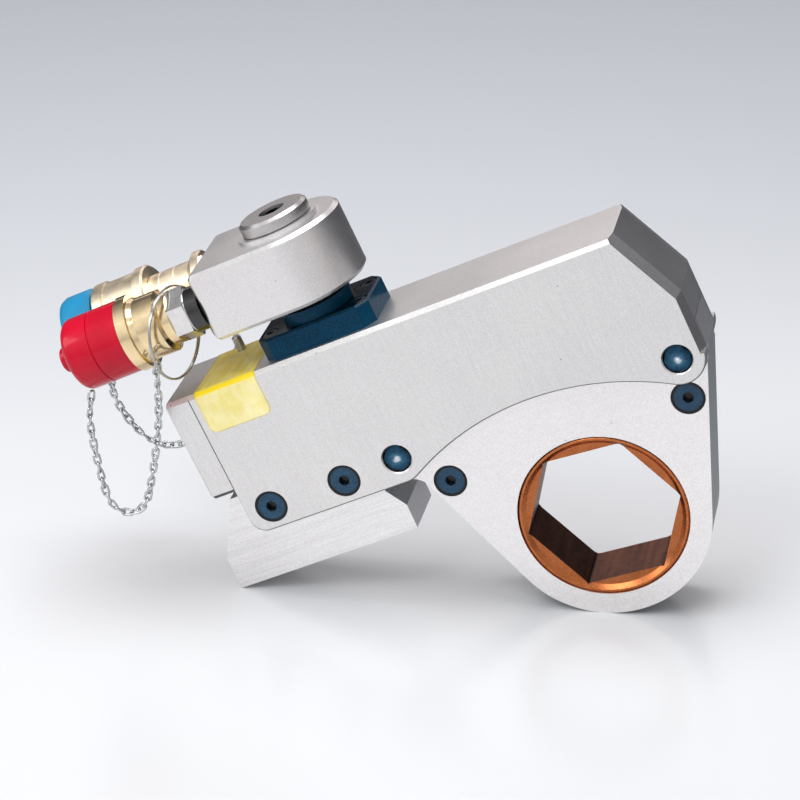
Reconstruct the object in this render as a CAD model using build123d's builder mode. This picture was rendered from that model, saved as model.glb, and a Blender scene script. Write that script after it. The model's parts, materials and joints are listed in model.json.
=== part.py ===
from build123d import *
import os
from math import asin, atan2, cos, degrees, hypot, pi, radians, sin, sqrt, tan

os.makedirs("parts", exist_ok=True)

# Driving dimensions, in millimetres and degrees.
# The tool is laid out in its own axes: u runs along the body, v across it
# away from the hexagon, and Y is the depth. The origin is the centre of the hexagon.

# Drive hexagon and ratchet wheel
hex_across_flats = 55.0
hex_turn = 19.1             # where the corners of the hexagon stand, above the horizontal
lead_in_radius = 32.6
lead_in_depth = 1.7
hub_radius = 34.2
hub_width = 29.6
hub_chamfer = 0.8
tooth_count = 36
tooth_tip_radius = 38.2
tooth_root_radius = 35.6
tooth_width = 10.6

# Link: two side plates on a core
link_width = 30.0
core_width = 18.0
nose_radius = 42.8
nose_side_lean = 21.2       # angle of the link's straight sides to v
rim_gap = 0.7
link_top = 63.6
link_screw_u = 51.0
link_screw_v = 35.0
pin_u = (-65.0, 55.0)
pin_v = 53.2
pin_diameter = 11.5
lug_radius = 12.0

# Drive housing
body_width = 42.4
body_left = -133.5
body_top = 107.0
body_bottom = 42.6
block_bottom = 62.6
fork_slot = 24.0
nose_face = 65.8
nose_corner = (50.8, 76.5)  # u where the top ends, v where the end face ends
arch_centre = (-5.0, -56.0)
arch_radius = 114.0
pin_boss_radius = 10.6
edge_chamfer = 1.7
facet_bevel = 7.0
contour_round = 0.7         # rounding of the plates' lower contour
hole_break = 0.5            # broken edge of the pin holes
slot_ceiling = 58.8
cavity_top = 99.5
cavity_left = -46.0
cavity_right = 42.0

# Cylinder, piston and rod
cylinder_axis = 84.8
bore_diameter = 32.0
rod_diameter = 18.0
piston_length = 14.0
end_clearance = 1.2
gland_left = -80.0
gland_wall = 4.0
cap_thickness = 10.4
spigot_length = 6.0

# Lever and pawls
stroke_angle = 20.0
drive_pin_diameter = 12.0
lever_plate = 3.0
pawl_width = 26.0
pawl_top = 50.5
pawl_lift = 3.0
holding_swing = 6.0

# Reaction foot
foot_width = 30.0
foot_left = -153.3
foot_right = -72.3
foot_bottom = 20.9
foot_screw_u = (-122.2, -89.1)
foot_screw_v = 52.1

# Swivel: flange, post and manifold block
swivel_u = -74.0
swivel_rest = 2.0
flange_size = (48.8, 34.0)
flange_thickness = 9.5
flange_corner = 4.5
flange_screw_grid = (39.4, 19.0)
boss_radius = 15.0
boss_height = 5.0
post_radius = 11.0
block_bottom_gap = 18.0     # from the body's top to the block
block_height = 28.5
block_radius = 25.2
block_reach = 35.5
disc_radius = 14.4
disc_height = 5.0
washer_radius = 17.0
washer_height = 1.4

# Couplers and caps
coupler_offset = 17.0
coupler_height = 13.8       # above the block's underside
adapter_flats = 19.0
port_radius = 6.6
cap_radius = 14.8
lip_radius = 15.4
ring_radius = 18.4
ring_wire = 1.4
chain_width = 3.0

# Fasteners and clearances
m6 = 6.0
m6_head = 13.3
m6_key = 4.0
m5 = 5.0
m5_head = 8.5
m5_key = 4.0
m4 = 4.0
m4_head = 7.0
m4_key = 3.0
running = 0.05
loose = 0.3
slip = 0.15

# Worked-out sizes
body_half = body_width / 2
link_half = link_width / 2
core_half = core_width / 2
slot_half = fork_slot / 2
inset_half = slot_half - 0.1
bore_radius = bore_diameter / 2
rod_radius = rod_diameter / 2
pin_radius = pin_diameter / 2
drive_pin_radius = drive_pin_diameter / 2
pitch = 360 / tooth_count
swing = stroke_angle / 2
cap_left = body_left - cap_thickness
block_under = body_top + block_bottom_gap
block_top = block_under + block_height
coupler_v = block_under + coupler_height
post_top = block_top + washer_height + loose
rim_radius = tooth_tip_radius + rim_gap

# The tool stands on the foot's lower edge and on the round nose
foot_reach = hypot(foot_left, foot_bottom)
body_tilt = 180 + degrees(asin(nose_radius / foot_reach)) - degrees(atan2(foot_bottom, foot_left))

along = Vector(cos(radians(body_tilt)), 0, sin(radians(body_tilt)))
across = Vector(-sin(radians(body_tilt)), 0, cos(radians(body_tilt)))
deep = Vector(0, 1, 0)
arm = along * cos(radians(swivel_rest)) + deep * sin(radians(swivel_rest))
sideways = across.cross(arm)


def spot(u, v, y=0.0):
    """A point given in the tool's own axes."""
    return along * u + across * v + deep * y


def side(y, u=0.0, v=0.0):
    """Side view plane at depth y: sketch x is u, sketch y is v, facing the front."""
    return Plane(origin=spot(u, v, y), x_dir=along, z_dir=-deep)


def far_side(y, u=0.0, v=0.0):
    """Side view plane facing the back: sketch x is -u, sketch y is v."""
    return Plane(origin=spot(u, v, y), x_dir=-along, z_dir=deep)


def deck(v, u=0.0, y=0.0):
    """Plan view plane at height v: sketch x is u, sketch y is the depth."""
    return Plane(origin=spot(u, v, y), x_dir=along, z_dir=across)


def end(u, v=0.0, y=0.0):
    """End view plane at u: sketch x is the depth, sketch y is v."""
    return Plane(origin=spot(u, v, y), x_dir=deep, z_dir=along)


def turret(v, s=0.0, q=0.0):
    """Plan view plane of the swivel: sketch x is along its arm, y is across it."""
    return Plane(origin=spot(swivel_u, v) + arm * s + sideways * q, x_dir=arm, z_dir=across)


def nozzle(q):
    """Plane through a coupler's axis: sketch x runs outwards from the post, y is a radius."""
    return Plane(origin=spot(swivel_u, coupler_v) + sideways * q, x_dir=-arm, z_dir=sideways)


def outlet(s, q):
    """Plane square to a coupler's axis at the distance s from the post, facing outwards."""
    return Plane(origin=spot(swivel_u, coupler_v) - arm * s + sideways * q, x_dir=-sideways, z_dir=-arm)


def both_sides(half, u, v):
    """The planes of the front and the back face at one point, half a width from the middle."""
    return (side(-half, u, v), far_side(half, u, v))


def lever_side(y, x=0.0, z=0.0):
    """Side view plane of the lever as it stands at the start of the stroke."""
    lean = radians(swing)
    out = along * -sin(lean) + across * cos(lean)
    right = along * cos(lean) + across * sin(lean)
    return Plane(origin=right * x + out * z + deep * y, x_dir=right, z_dir=-deep)


def polar(radius, angle):
    return (radius * cos(radians(angle)), radius * sin(radians(angle)))


def turned(axis_plane, profile):
    """A turned piece from its closed half profile of (along, radius) points."""
    with BuildPart() as piece:
        with BuildSketch(axis_plane):
            with BuildLine():
                Polyline(*profile, close=True)
            make_face()
        revolve(axis=Axis(axis_plane.origin, axis_plane.x_dir))
    return piece.part


def o_ring(axis_plane, at, mean_radius, section):
    """A seal ring about the plane's x axis; its round section has eight sides."""
    with BuildPart() as piece:
        with BuildSketch(axis_plane):
            with Locations((at, mean_radius)):
                RegularPolygon(section / 2, 8)
        revolve(axis=Axis(axis_plane.origin, axis_plane.x_dir))
    return piece.part


def countersunk_screw(head_plane, size, head, key, length):
    """A countersunk socket screw; its head's face lies on the plane."""
    rim = 0.5
    cone = (head - size) / 2
    with BuildPart() as screw:
        with BuildSketch(head_plane):
            Circle(head / 2)
        extrude(amount=-rim)
        with BuildSketch(head_plane.offset(-rim)):
            Circle(head / 2)
        extrude(amount=-cone, taper=45)
        with BuildSketch(head_plane.offset(-rim)):
            Circle(size / 2)
        extrude(amount=-(length - rim))
        with BuildSketch(head_plane):
            RegularPolygon(key / 2, 6, major_radius=False)
        extrude(amount=-key * 0.55, mode=Mode.SUBTRACT)
    return screw.part


def cap_screw(seat_plane, size, head, key, length):
    """A socket cap screw; the underside of its head lies on the plane."""
    with BuildPart() as screw:
        with BuildSketch(seat_plane):
            Circle(head / 2)
        extrude(amount=size)
        with BuildSketch(seat_plane):
            Circle(size / 2)
        extrude(amount=-length)
        outwards = Axis(seat_plane.origin, seat_plane.z_dir)
        chamfer(screw.edges().filter_by(GeomType.CIRCLE).sort_by(outwards)[-1], size * 0.08)
        with BuildSketch(seat_plane.offset(size)):
            RegularPolygon(key / 2, 6, major_radius=False)
        extrude(amount=-size * 0.55, mode=Mode.SUBTRACT)
    return screw.part


def countersunk_hole(head_plane, size, head, length):
    """The hole for a countersunk screw whose head's face lies on the plane."""
    wide = head / 2 + 0.15
    with BuildPart() as hole:
        with BuildSketch(head_plane.offset(1.0)):
            Circle(wide)
        extrude(amount=-1.5)
        with BuildSketch(head_plane.offset(-0.5)):
            Circle(wide)
        extrude(amount=-(wide - size / 2), taper=45)
        with BuildSketch(head_plane):
            Circle(size / 2 + running)
        extrude(amount=-length)
    return hole.part


def ratchet_outline(grow=0.0):
    """The saw teeth of the wheel: steep flanks face the way the wheel is held."""
    rise = pitch * 0.76
    crest = pitch * 0.08
    points = []
    for tooth in range(tooth_count):
        start = 90 + swing + tooth * pitch
        points.append(polar(tooth_root_radius + grow, start))
        points.append(polar(tooth_tip_radius + grow, start + rise))
        points.append(polar(tooth_tip_radius + grow, start + rise + crest))
    with BuildSketch() as outline:
        with BuildLine():
            Polyline(*points, close=True)
        make_face()
    return outline.sketch


def housing_outline(grow=0.0):
    """Side view of the housing's plates, grown outwards along the arch and corners."""
    radius = arch_radius - grow
    low = body_bottom - grow
    reach = sqrt(radius ** 2 - (low - arch_centre[1]) ** 2)
    left_foot = (arch_centre[0] - reach, low)
    right_foot = (arch_centre[0] + reach, low)
    crown = (arch_centre[0], arch_centre[1] + radius)
    with BuildSketch() as outline:
        with BuildLine():
            Polyline((body_left, body_top), (body_left, low), left_foot)
            ThreePointArc(left_foot, crown, right_foot)
            Polyline(right_foot, (nose_face + grow, low), (nose_face + grow, nose_corner[1]),
                     (nose_corner[0], body_top), (body_left, body_top))
        make_face()
        corners = outline.vertices()
        rounded = [corners.sort_by_distance(p)[0]
                   for p in (left_foot, right_foot, (nose_face + grow, low))]
        fillet(rounded, pin_boss_radius)
        if grow == 0:
            fillet(outline.vertices().sort_by_distance((body_left, low))[0], 6.5)
    return outline.sketch


def link_outline():
    """Side view of the link: round nose, straight sides, lug and tongue."""
    lean = radians(nose_side_lean)
    touch = (nose_radius * cos(lean), -nose_radius * sin(lean))

    def side_u(v):
        return (nose_radius + v * sin(lean)) / cos(lean)

    corner_v = (nose_face * cos(lean) - nose_radius) / sin(lean)
    lug_v = pin_v - lug_radius * 0.5
    with BuildSketch() as outline:
        Circle(nose_radius)
        with BuildLine():
            Polyline((-touch[0], touch[1]), touch, (nose_face, corner_v), (nose_face, link_top),
                     (pin_u[0] + 4, link_top), (-side_u(lug_v), lug_v), close=True)
        make_face()
        with Locations((pin_u[0], pin_v)):
            Circle(lug_radius)
        hollow = outline.vertices().sort_by_distance((-side_u(40), 40))[0]
        fillet(hollow, 8)
    return outline.sketch


def edge_bevel(start, stop, cut, depth):
    """Cutters for one straight edge, front and back; the solid lies right of start to stop."""
    run = hypot(stop[0] - start[0], stop[1] - start[1])
    ahead = (along * (stop[0] - start[0]) + across * (stop[1] - start[1])) * (1 / run)
    inward = ahead.cross(deep) * -1
    plane = Plane(origin=spot(*start, -body_half) - ahead, x_dir=inward, z_dir=ahead)
    with BuildPart() as cutter:
        with BuildSketch(plane):
            with BuildLine():
                Polyline((cut * 1.3, -depth * 0.3), (-cut * 0.3, depth * 1.3),
                         (-cut - 1, -depth * 0.3), close=True)
            make_face()
        extrude(amount=run + 2)
        mirror(about=Plane.XZ)
    return cutter.part


# Drive housing: a cylinder block over two side plates that form a fork
foot_slot_right = pin_u[0] - lug_radius - 1.2
lug_ceiling = max(pin_v + lug_radius, link_top) + 1.0
gland_right = cavity_left - 6
gland_radius = rod_radius + gland_wall
cap_screw_grid = (31.0, 33.0)
small_pin_at = (-118.0, 15.0)
small_pin_radius = 1.9
small_pin_top = 113.5
with BuildPart() as drive_housing:
    with BuildSketch(side(-body_half)):
        add(housing_outline())
    extrude(amount=-body_width)

    # Rounded lower contour of both plates
    for direction in (deep * -1, deep):
        outer_face = drive_housing.faces().sort_by(Axis(spot(0, 0), direction))[-1]
        upper_ends = [spot((body_left + nose_corner[0]) / 2, body_top), spot(nose_face - 5, 90),
                      spot(nose_face, nose_corner[1] - 8), spot(body_left, 90)]
        trimmed = [outer_face.edges().sort_by_distance(place + direction * body_half)[0]
                   for place in upper_ends]
        lower = [edge for edge in outer_face.edges() if not any(edge.is_same(other) for other in trimmed)]
        fillet(lower, contour_round)

    # Chamfered top edges and the wide bevels of the nose
    nose_top = (nose_corner[0], body_top)
    nose_break = (nose_face, nose_corner[1])
    nose_low = (nose_face, body_bottom + pin_boss_radius)
    add(edge_bevel((body_left, body_top), nose_top, edge_chamfer, edge_chamfer), mode=Mode.SUBTRACT)
    add(edge_bevel(nose_top, nose_break, edge_chamfer, facet_bevel), mode=Mode.SUBTRACT)
    add(edge_bevel(nose_break, nose_low, edge_chamfer, facet_bevel), mode=Mode.SUBTRACT)

    # Slot between the plates, lever cavity and tongue slot, open below
    with BuildSketch(side(-slot_half)):
        with BuildLine():
            Polyline((body_left - 1, body_bottom - 20), (body_left - 1, slot_ceiling),
                     (foot_slot_right, slot_ceiling), (foot_slot_right, lug_ceiling),
                     (cavity_left, lug_ceiling), (cavity_left, cavity_top),
                     (cavity_right, cavity_top), (cavity_right, link_top + loose),
                     (nose_face + 1, link_top + loose), (nose_face + 1, body_bottom - 20), close=True)
        make_face()
    extrude(amount=-fork_slot, mode=Mode.SUBTRACT)

    # Cylinder bore, gland bore and rod bore
    with BuildSketch(end(body_left, cylinder_axis)):
        Circle(bore_radius)
    extrude(amount=gland_left - body_left, mode=Mode.SUBTRACT)
    with BuildSketch(end(gland_left - 1, cylinder_axis)):
        Circle(gland_radius)
    extrude(amount=gland_right - gland_left + 1, mode=Mode.SUBTRACT)
    with BuildSketch(end(gland_right - 1, cylinder_axis)):
        Circle(rod_radius + 0.5)
    extrude(amount=cavity_left - gland_right + 2, mode=Mode.SUBTRACT)

    # Holes for the link pins, from face to face, with a broken edge
    with BuildSketch(side(-body_half)):
        with Locations((pin_u[0], pin_v), (pin_u[1], pin_v)):
            Circle(pin_radius + running)
    extrude(amount=-body_width, mode=Mode.SUBTRACT)
    for u in pin_u:
        for mouth in both_sides(body_half, u, pin_v):
            with BuildSketch(mouth):
                Circle(pin_radius + running + hole_break)
            extrude(amount=-hole_break, taper=45, mode=Mode.SUBTRACT)

    # Countersinks for the foot screws on both faces
    for u in foot_screw_u:
        for face_plane in both_sides(body_half - loose, u, foot_screw_v):
            add(countersunk_hole(face_plane, m6, m6_head, body_half - slot_half + 1), mode=Mode.SUBTRACT)

    # Tapped holes under the flange and in the cylinder's end
    with BuildSketch(deck(body_top, swivel_u)):
        with GridLocations(*flange_screw_grid, 2, 2):
            Circle(m4 / 2 + running)
    extrude(amount=-5.5, mode=Mode.SUBTRACT)
    with BuildSketch(end(body_left, cylinder_axis)):
        with GridLocations(*cap_screw_grid, 2, 2):
            Circle(m5 / 2 + running)
    extrude(amount=11, mode=Mode.SUBTRACT)

    # Oil way from under the post down to the cylinder
    with BuildSketch(deck(body_top, swivel_u)):
        with Locations((-7, 0)):
            Circle(2)
    extrude(amount=-(body_top - cylinder_axis - bore_radius + 3), mode=Mode.SUBTRACT)

    # Hole for the small pin on the top
    with BuildSketch(deck(body_top, *small_pin_at)):
        Circle(small_pin_radius + running)
    extrude(amount=-5, mode=Mode.SUBTRACT)

# End cap of the cylinder, with a spigot in the bore and counterbored screw holes
block_mid = (block_bottom + body_top) / 2
cap_bore_depth = m5 + 1.5
with BuildPart() as end_cap:
    with BuildSketch(end(cap_left, block_mid)):
        Rectangle(body_width, body_top - block_bottom)
    extrude(amount=cap_thickness)
    chamfer(end_cap.edges().filter_by(Axis(spot(0, 0), along)), edge_chamfer)
    left_face = end_cap.faces().sort_by(Axis(spot(0, 0), along))[0]
    chamfer(left_face.edges(), 0.8)
    with BuildSketch(end(body_left, cylinder_axis)):
        Circle(bore_radius - running)
    extrude(amount=spigot_length)
    with BuildSketch(end(body_left + 1.8, cylinder_axis)):
        Circle(bore_radius)
        Circle(bore_radius - 1.8, mode=Mode.SUBTRACT)
    extrude(amount=2.4, mode=Mode.SUBTRACT)
    with BuildSketch(end(cap_left, cylinder_axis)):
        with GridLocations(*cap_screw_grid, 2, 2):
            Circle(m5 / 2 + 0.25)
    extrude(amount=cap_thickness, mode=Mode.SUBTRACT)
    with BuildSketch(end(cap_left, cylinder_axis)):
        with GridLocations(*cap_screw_grid, 2, 2):
            Circle(m5_head / 2 + 0.25)
    extrude(amount=cap_bore_depth, mode=Mode.SUBTRACT)

with BuildPart() as end_cap_screws:
    for y in (-cap_screw_grid[0] / 2, cap_screw_grid[0] / 2):
        for v in (-cap_screw_grid[1] / 2, cap_screw_grid[1] / 2):
            seat = Plane(origin=spot(cap_left + cap_bore_depth, cylinder_axis + v, y),
                         x_dir=deep, z_dir=-along)
            add(cap_screw(seat, m5, m5_head, m5_key, cap_thickness - cap_bore_depth + 9))

cylinder_line = side(0, 0, cylinder_axis)
with BuildPart() as end_cap_seal:
    add(o_ring(cylinder_line, body_left + 3.0, bore_radius - 0.95, 1.7))

# Rod gland with its seals
with BuildPart() as rod_gland:
    inner = rod_radius + running
    outer = gland_radius - running
    add(turned(cylinder_line, [
        (gland_left, inner + 0.6), (gland_left + 0.6, inner), (gland_left + 8, inner),
        (gland_left + 8, inner + 2.2), (gland_left + 11, inner + 2.2), (gland_left + 11, inner),
        (gland_right, inner), (gland_right, outer),
        (gland_left + 20, outer), (gland_left + 20, outer - 1.6), (gland_left + 17.6, outer - 1.6),
        (gland_left + 17.6, outer), (gland_left + 0.8, outer), (gland_left, outer - 0.8)]))

with BuildPart() as gland_seals:
    add(o_ring(cylinder_line, gland_left + 9.5, rod_radius + running + 1.1, 2.0))
    add(o_ring(cylinder_line, gland_left + 18.8, gland_radius - running - 0.8, 1.6))

# Piston, its ring and seal, the rod and the hook that drives the lever's pin
piston_left = body_left + spigot_length + end_clearance
piston_right = piston_left + piston_length
rod_spigot = 6.0
hook_width = 10.0
hook_slot = drive_pin_radius + slip
lever_reach = cylinder_axis
hook_u = -lever_reach * sin(radians(swing))
hook_left = hook_u - 13.2
hook_right = hook_u + 12.1
hook_low = cylinder_axis - 11.8
hook_high = cylinder_axis + 11.2
with BuildPart() as piston:
    outer = bore_radius - running
    add(turned(cylinder_line, [
        (piston_left, rod_spigot + running), (piston_right, rod_spigot + running),
        (piston_right, outer - 0.8), (piston_right - 0.8, outer), (piston_right - 2, outer),
        (piston_right - 2, outer - 1.5),
        (piston_right - 6, outer - 1.5), (piston_right - 6, outer), (piston_left + 5, outer),
        (piston_left + 5, outer - 2.2), (piston_left + 2.2, outer - 2.2), (piston_left + 2.2, outer),
        (piston_left + 0.8, outer), (piston_left, outer - 0.8)]))

with BuildPart() as piston_seals:
    add(turned(cylinder_line, [
        (piston_right - 5.9, outer - 1.45), (piston_right - 2.1, outer - 1.45), (piston_right - 2.1, outer),
        (piston_right - 5.9, outer)]))
    add(o_ring(cylinder_line, piston_left + 3.6, outer - 1.1, 2.0))

with BuildPart() as piston_rod:
    add(turned(cylinder_line, [
        (piston_left + 1, 0), (piston_left + 1, rod_spigot), (piston_right, rod_spigot),
        (piston_right, rod_radius), (hook_left - 1, rod_radius), (hook_left, rod_radius - 1),
        (hook_left, 4), (hook_left + 5, 4), (hook_left + 5, 0)]))

with BuildPart() as rod_hook:
    with BuildSketch(side(-hook_width / 2)):
        with BuildLine():
            Polyline((hook_left, hook_low + 4), (hook_left + 4, hook_low), (hook_right, hook_low),
                     (hook_right, hook_high - 6), (hook_right - 6, hook_high), (hook_left, hook_high),
                     close=True)
        make_face()
        with Locations((hook_u, cylinder_axis + 0.8)):
            Circle(hook_slot, mode=Mode.SUBTRACT)
        with Locations((hook_u, (hook_low - 1 + cylinder_axis + 0.8) / 2)):
            Rectangle(hook_slot * 2, cylinder_axis + 1.8 - hook_low, mode=Mode.SUBTRACT)
    extrude(amount=-hook_width)
    with BuildSketch(end(hook_left, cylinder_axis)):
        Circle(4 + running)
    extrude(amount=5.05, mode=Mode.SUBTRACT)

# Reaction foot: a tang between the housing's plates on a wide base
foot_half = foot_width / 2
foot_screw_length = 16.0
toe_height = 10.6           # upright part of the foot's right end
heel_height = 13.9          # nearly upright part of its left end
with BuildPart() as reaction_foot:
    with BuildSketch(side(-foot_half)):
        with BuildLine():
            Polyline((foot_left + 13.5, slot_ceiling), (foot_left + 0.2, foot_bottom + heel_height),
                     (foot_left, foot_bottom), (foot_right, foot_bottom),
                     (foot_right + 0.2, foot_bottom + toe_height), (foot_right - 5.3, body_bottom - 2.7),
                     (foot_slot_right - loose, body_bottom + 0.4), (foot_slot_right - loose, slot_ceiling),
                     close=True)
        make_face()
    extrude(amount=-foot_width)
    # Steps for the housing's two plates
    for y in (-body_half, inset_half):
        with BuildSketch(side(y)):
            with BuildLine():
                Polyline((body_left, slot_ceiling + 1), (body_left, body_bottom - slip),
                         (foot_right + 5, body_bottom - slip), (foot_right + 5, slot_ceiling + 1),
                         close=True)
            make_face()
        extrude(amount=-(body_half - inset_half), mode=Mode.SUBTRACT)
    for u in foot_screw_u:
        for face_plane in both_sides(body_half - loose, u, foot_screw_v):
            add(countersunk_hole(face_plane, m6, m6_head, foot_screw_length + 0.4), mode=Mode.SUBTRACT)

with BuildPart() as foot_screws:
    for u in foot_screw_u:
        for face_plane in both_sides(body_half - loose, u, foot_screw_v):
            add(countersunk_screw(face_plane, m6, m6_head, m6_key, foot_screw_length))

# Link: two side plates with the hub bores, let in where the housing's plates lie over them
link_screw_length = 12.0
hub_bore = hub_radius + running


def link_plate(plane, facing):
    """One side plate; facing is 1 for the front and -1 for the back."""
    with BuildPart() as plate:
        with BuildSketch(plane):
            add(link_outline() if facing == 1 else mirror(link_outline(), about=Plane.YZ))
            Circle(hub_bore, mode=Mode.SUBTRACT)
            for u in pin_u:
                with Locations((u * facing, pin_v)):
                    Circle(pin_radius + running, mode=Mode.SUBTRACT)
        extrude(amount=-(link_half - core_half))
        with BuildSketch(plane):
            add(housing_outline(loose) if facing == 1 else mirror(housing_outline(loose), about=Plane.YZ))
        extrude(amount=-(link_half - inset_half), mode=Mode.SUBTRACT)
        for u in (-link_screw_u, link_screw_u):
            head = Plane(origin=plane.origin + along * u + across * link_screw_v, x_dir=plane.x_dir,
                         z_dir=plane.z_dir).offset(-loose)
            add(countersunk_hole(head, m6, m6_head, link_screw_length), mode=Mode.SUBTRACT)
    return plate.part


with BuildPart() as link_plate_front:
    add(link_plate(side(-link_half), 1))
with BuildPart() as link_plate_back:
    add(link_plate(far_side(link_half), -1))

# Holding pawl: its tine stops a steep flank of the wheel; drawn in mesh and then swung clear
pivot = (41.5, 44.0)
pivot_radius = 2.5
pawl_boss = 4.8
tine_flank = 2 * pitch - 1.1
tine_tip = 2 * pitch + 0.95
tine_back = 2 * pitch + 7.5
holding_width = 10.0
holding_low = polar(rim_radius + 5, tine_flank)


def holding_pawl_side(y, swung):
    """Side view plane of the holding pawl, turned about its pin."""
    turn = radians(swung)
    right = along * cos(turn) + across * sin(turn)
    up = across * cos(turn) - along * sin(turn)
    shift = right * -pivot[0] + up * -pivot[1]
    return Plane(origin=spot(*pivot, y) + shift, x_dir=right, z_dir=-deep)


with BuildPart() as holding_pawl:
    with BuildSketch(holding_pawl_side(-holding_width / 2, holding_swing)):
        with BuildLine():
            Polyline((pivot[0] - pawl_boss, pivot[1]), (pivot[0] + pawl_boss, pivot[1]),
                     (pivot[0] + 3.6, 28), holding_low, polar(tooth_tip_radius + 0.2, tine_flank),
                     polar(tooth_root_radius + 0.65, tine_tip), polar(tooth_tip_radius + 0.25, tine_back),
                     polar(rim_radius + 0.4, tine_back + 8.5), close=True)
        make_face()
        with Locations(pivot):
            Circle(pawl_boss)
            Circle(pivot_radius + running, mode=Mode.SUBTRACT)
    extrude(amount=-holding_width)

with BuildPart() as holding_pawl_pin:
    with BuildSketch(side(-core_half + 0.1, *pivot)):
        Circle(pivot_radius)
    extrude(amount=-(core_width - 0.2))

# Link core between the plates: walls round the lever's cavity and a pocket for the holding pawl
wall_u = 36.0
pocket_right = pivot[0] + pawl_boss + 0.8
spring_v = 22.0
with BuildPart() as link_core:
    with BuildSketch(side(-core_half)):
        add(link_outline())
        Circle(rim_radius, mode=Mode.SUBTRACT)
        with Locations((0, link_top / 2 + 5)):
            Rectangle(wall_u * 2, link_top + 10, mode=Mode.SUBTRACT)
        for u in pin_u:
            with Locations((u, pin_v)):
                Circle(pin_radius + running, mode=Mode.SUBTRACT)
    extrude(amount=-core_width)
    with BuildSketch(side(-holding_width / 2 - loose)):
        with BuildLine():
            Polyline((wall_u - 2, pivot[1] + pawl_boss + 1), (pocket_right, pivot[1] + pawl_boss + 1),
                     (pocket_right + 0.4, 26), (pocket_right - 0.4, 9.5), (wall_u - 2, 9.5), close=True)
        make_face()
    extrude(amount=-(holding_width + 2 * loose), mode=Mode.SUBTRACT)
    with BuildSketch(side(-core_half, *pivot)):
        Circle(pivot_radius + running)
    extrude(amount=-core_width, mode=Mode.SUBTRACT)
    with BuildSketch(end(pocket_right - 1, spring_v)):
        Circle(2.6)
    extrude(amount=5.2, mode=Mode.SUBTRACT)
    for u in (-link_screw_u, link_screw_u):
        for face_plane in both_sides(link_half - loose, u, link_screw_v):
            add(countersunk_hole(face_plane, m6, m6_head, link_screw_length + 0.4), mode=Mode.SUBTRACT)

with BuildPart() as link_screws:
    for u in (-link_screw_u, link_screw_u):
        for face_plane in both_sides(link_half - loose, u, link_screw_v):
            add(countersunk_screw(face_plane, m6, m6_head, m6_key, link_screw_length))

# Link pins with domed ends
pin_dome = 1.1
with BuildPart() as link_pins:
    for u in pin_u:
        lie = Plane(origin=spot(u, pin_v), x_dir=deep, z_dir=-along)
        tip = body_half - 0.1
        ball = (pin_radius ** 2 + pin_dome ** 2) / (2 * pin_dome)
        half_arc = asin(pin_radius / ball) / 2
        mid_x = tip - ball * (1 - cos(half_arc))
        mid_r = ball * sin(half_arc)
        with BuildSketch(lie):
            with BuildLine():
                Line((-tip, 0), (tip, 0))
                ThreePointArc((tip, 0), (mid_x, mid_r), (tip - pin_dome, pin_radius))
                Line((tip - pin_dome, pin_radius), (-tip + pin_dome, pin_radius))
                ThreePointArc((-tip + pin_dome, pin_radius), (-mid_x, mid_r), (-tip, 0))
            make_face()
        revolve(axis=Axis(lie.origin, lie.x_dir))

# Ratchet wheel with its through hexagon
hex_angle = hex_turn - body_tilt
with BuildPart() as ratchet:
    with BuildSketch(side(-hub_width / 2)):
        Circle(hub_radius)
    extrude(amount=-hub_width)
    chamfer(ratchet.edges().filter_by(GeomType.CIRCLE), hub_chamfer)
    with BuildSketch(side(-tooth_width / 2)):
        add(ratchet_outline())
    extrude(amount=-tooth_width)
    with BuildSketch(side(-hub_width / 2)):
        RegularPolygon(hex_across_flats / 2, 6, major_radius=False, rotation=hex_angle)
    extrude(amount=-hub_width, mode=Mode.SUBTRACT)
    for face in (side(-hub_width / 2), far_side(hub_width / 2)):
        with BuildSketch(face):
            Circle(lead_in_radius)
        extrude(amount=-lead_in_depth, taper=45, mode=Mode.SUBTRACT)

# Lever: two drive plates that run on the wheel's hub, with a block between them
plate_near = hook_width / 2 + 0.7
plate_far = plate_near + lever_plate
block_half = 17.5
lever_block_top = 64.0
pawl_ceiling = pawl_top + pawl_lift + loose
rivet_at = (13.4, 59.2)
rivet_radius = 1.9
spring_at = 6.0
spring_hole = 2.6
spring_top = 61.5


def drive_plate(plane):
    """One plate of the lever, from the hub's ring up to the drive pin."""
    with BuildPart() as plate:
        with BuildSketch(plane):
            Circle(tooth_tip_radius)
            with BuildLine():
                Polyline((-block_half, 33), (block_half, 33), (block_half, 40), (9.2, lever_reach),
                         (-9.2, lever_reach), (-block_half, 40), close=True)
            make_face()
            with Locations((0, lever_reach)):
                Circle(9.4)
                Circle(drive_pin_radius + running, mode=Mode.SUBTRACT)
            Circle(hub_bore, mode=Mode.SUBTRACT)
            with Locations((-rivet_at[0], rivet_at[1]), rivet_at):
                Circle(rivet_radius + running, mode=Mode.SUBTRACT)
        extrude(amount=-lever_plate)
    return plate.part


with BuildPart() as drive_plate_front:
    add(drive_plate(lever_side(-plate_far)))
with BuildPart() as drive_plate_back:
    add(drive_plate(lever_side(plate_near)))

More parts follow.
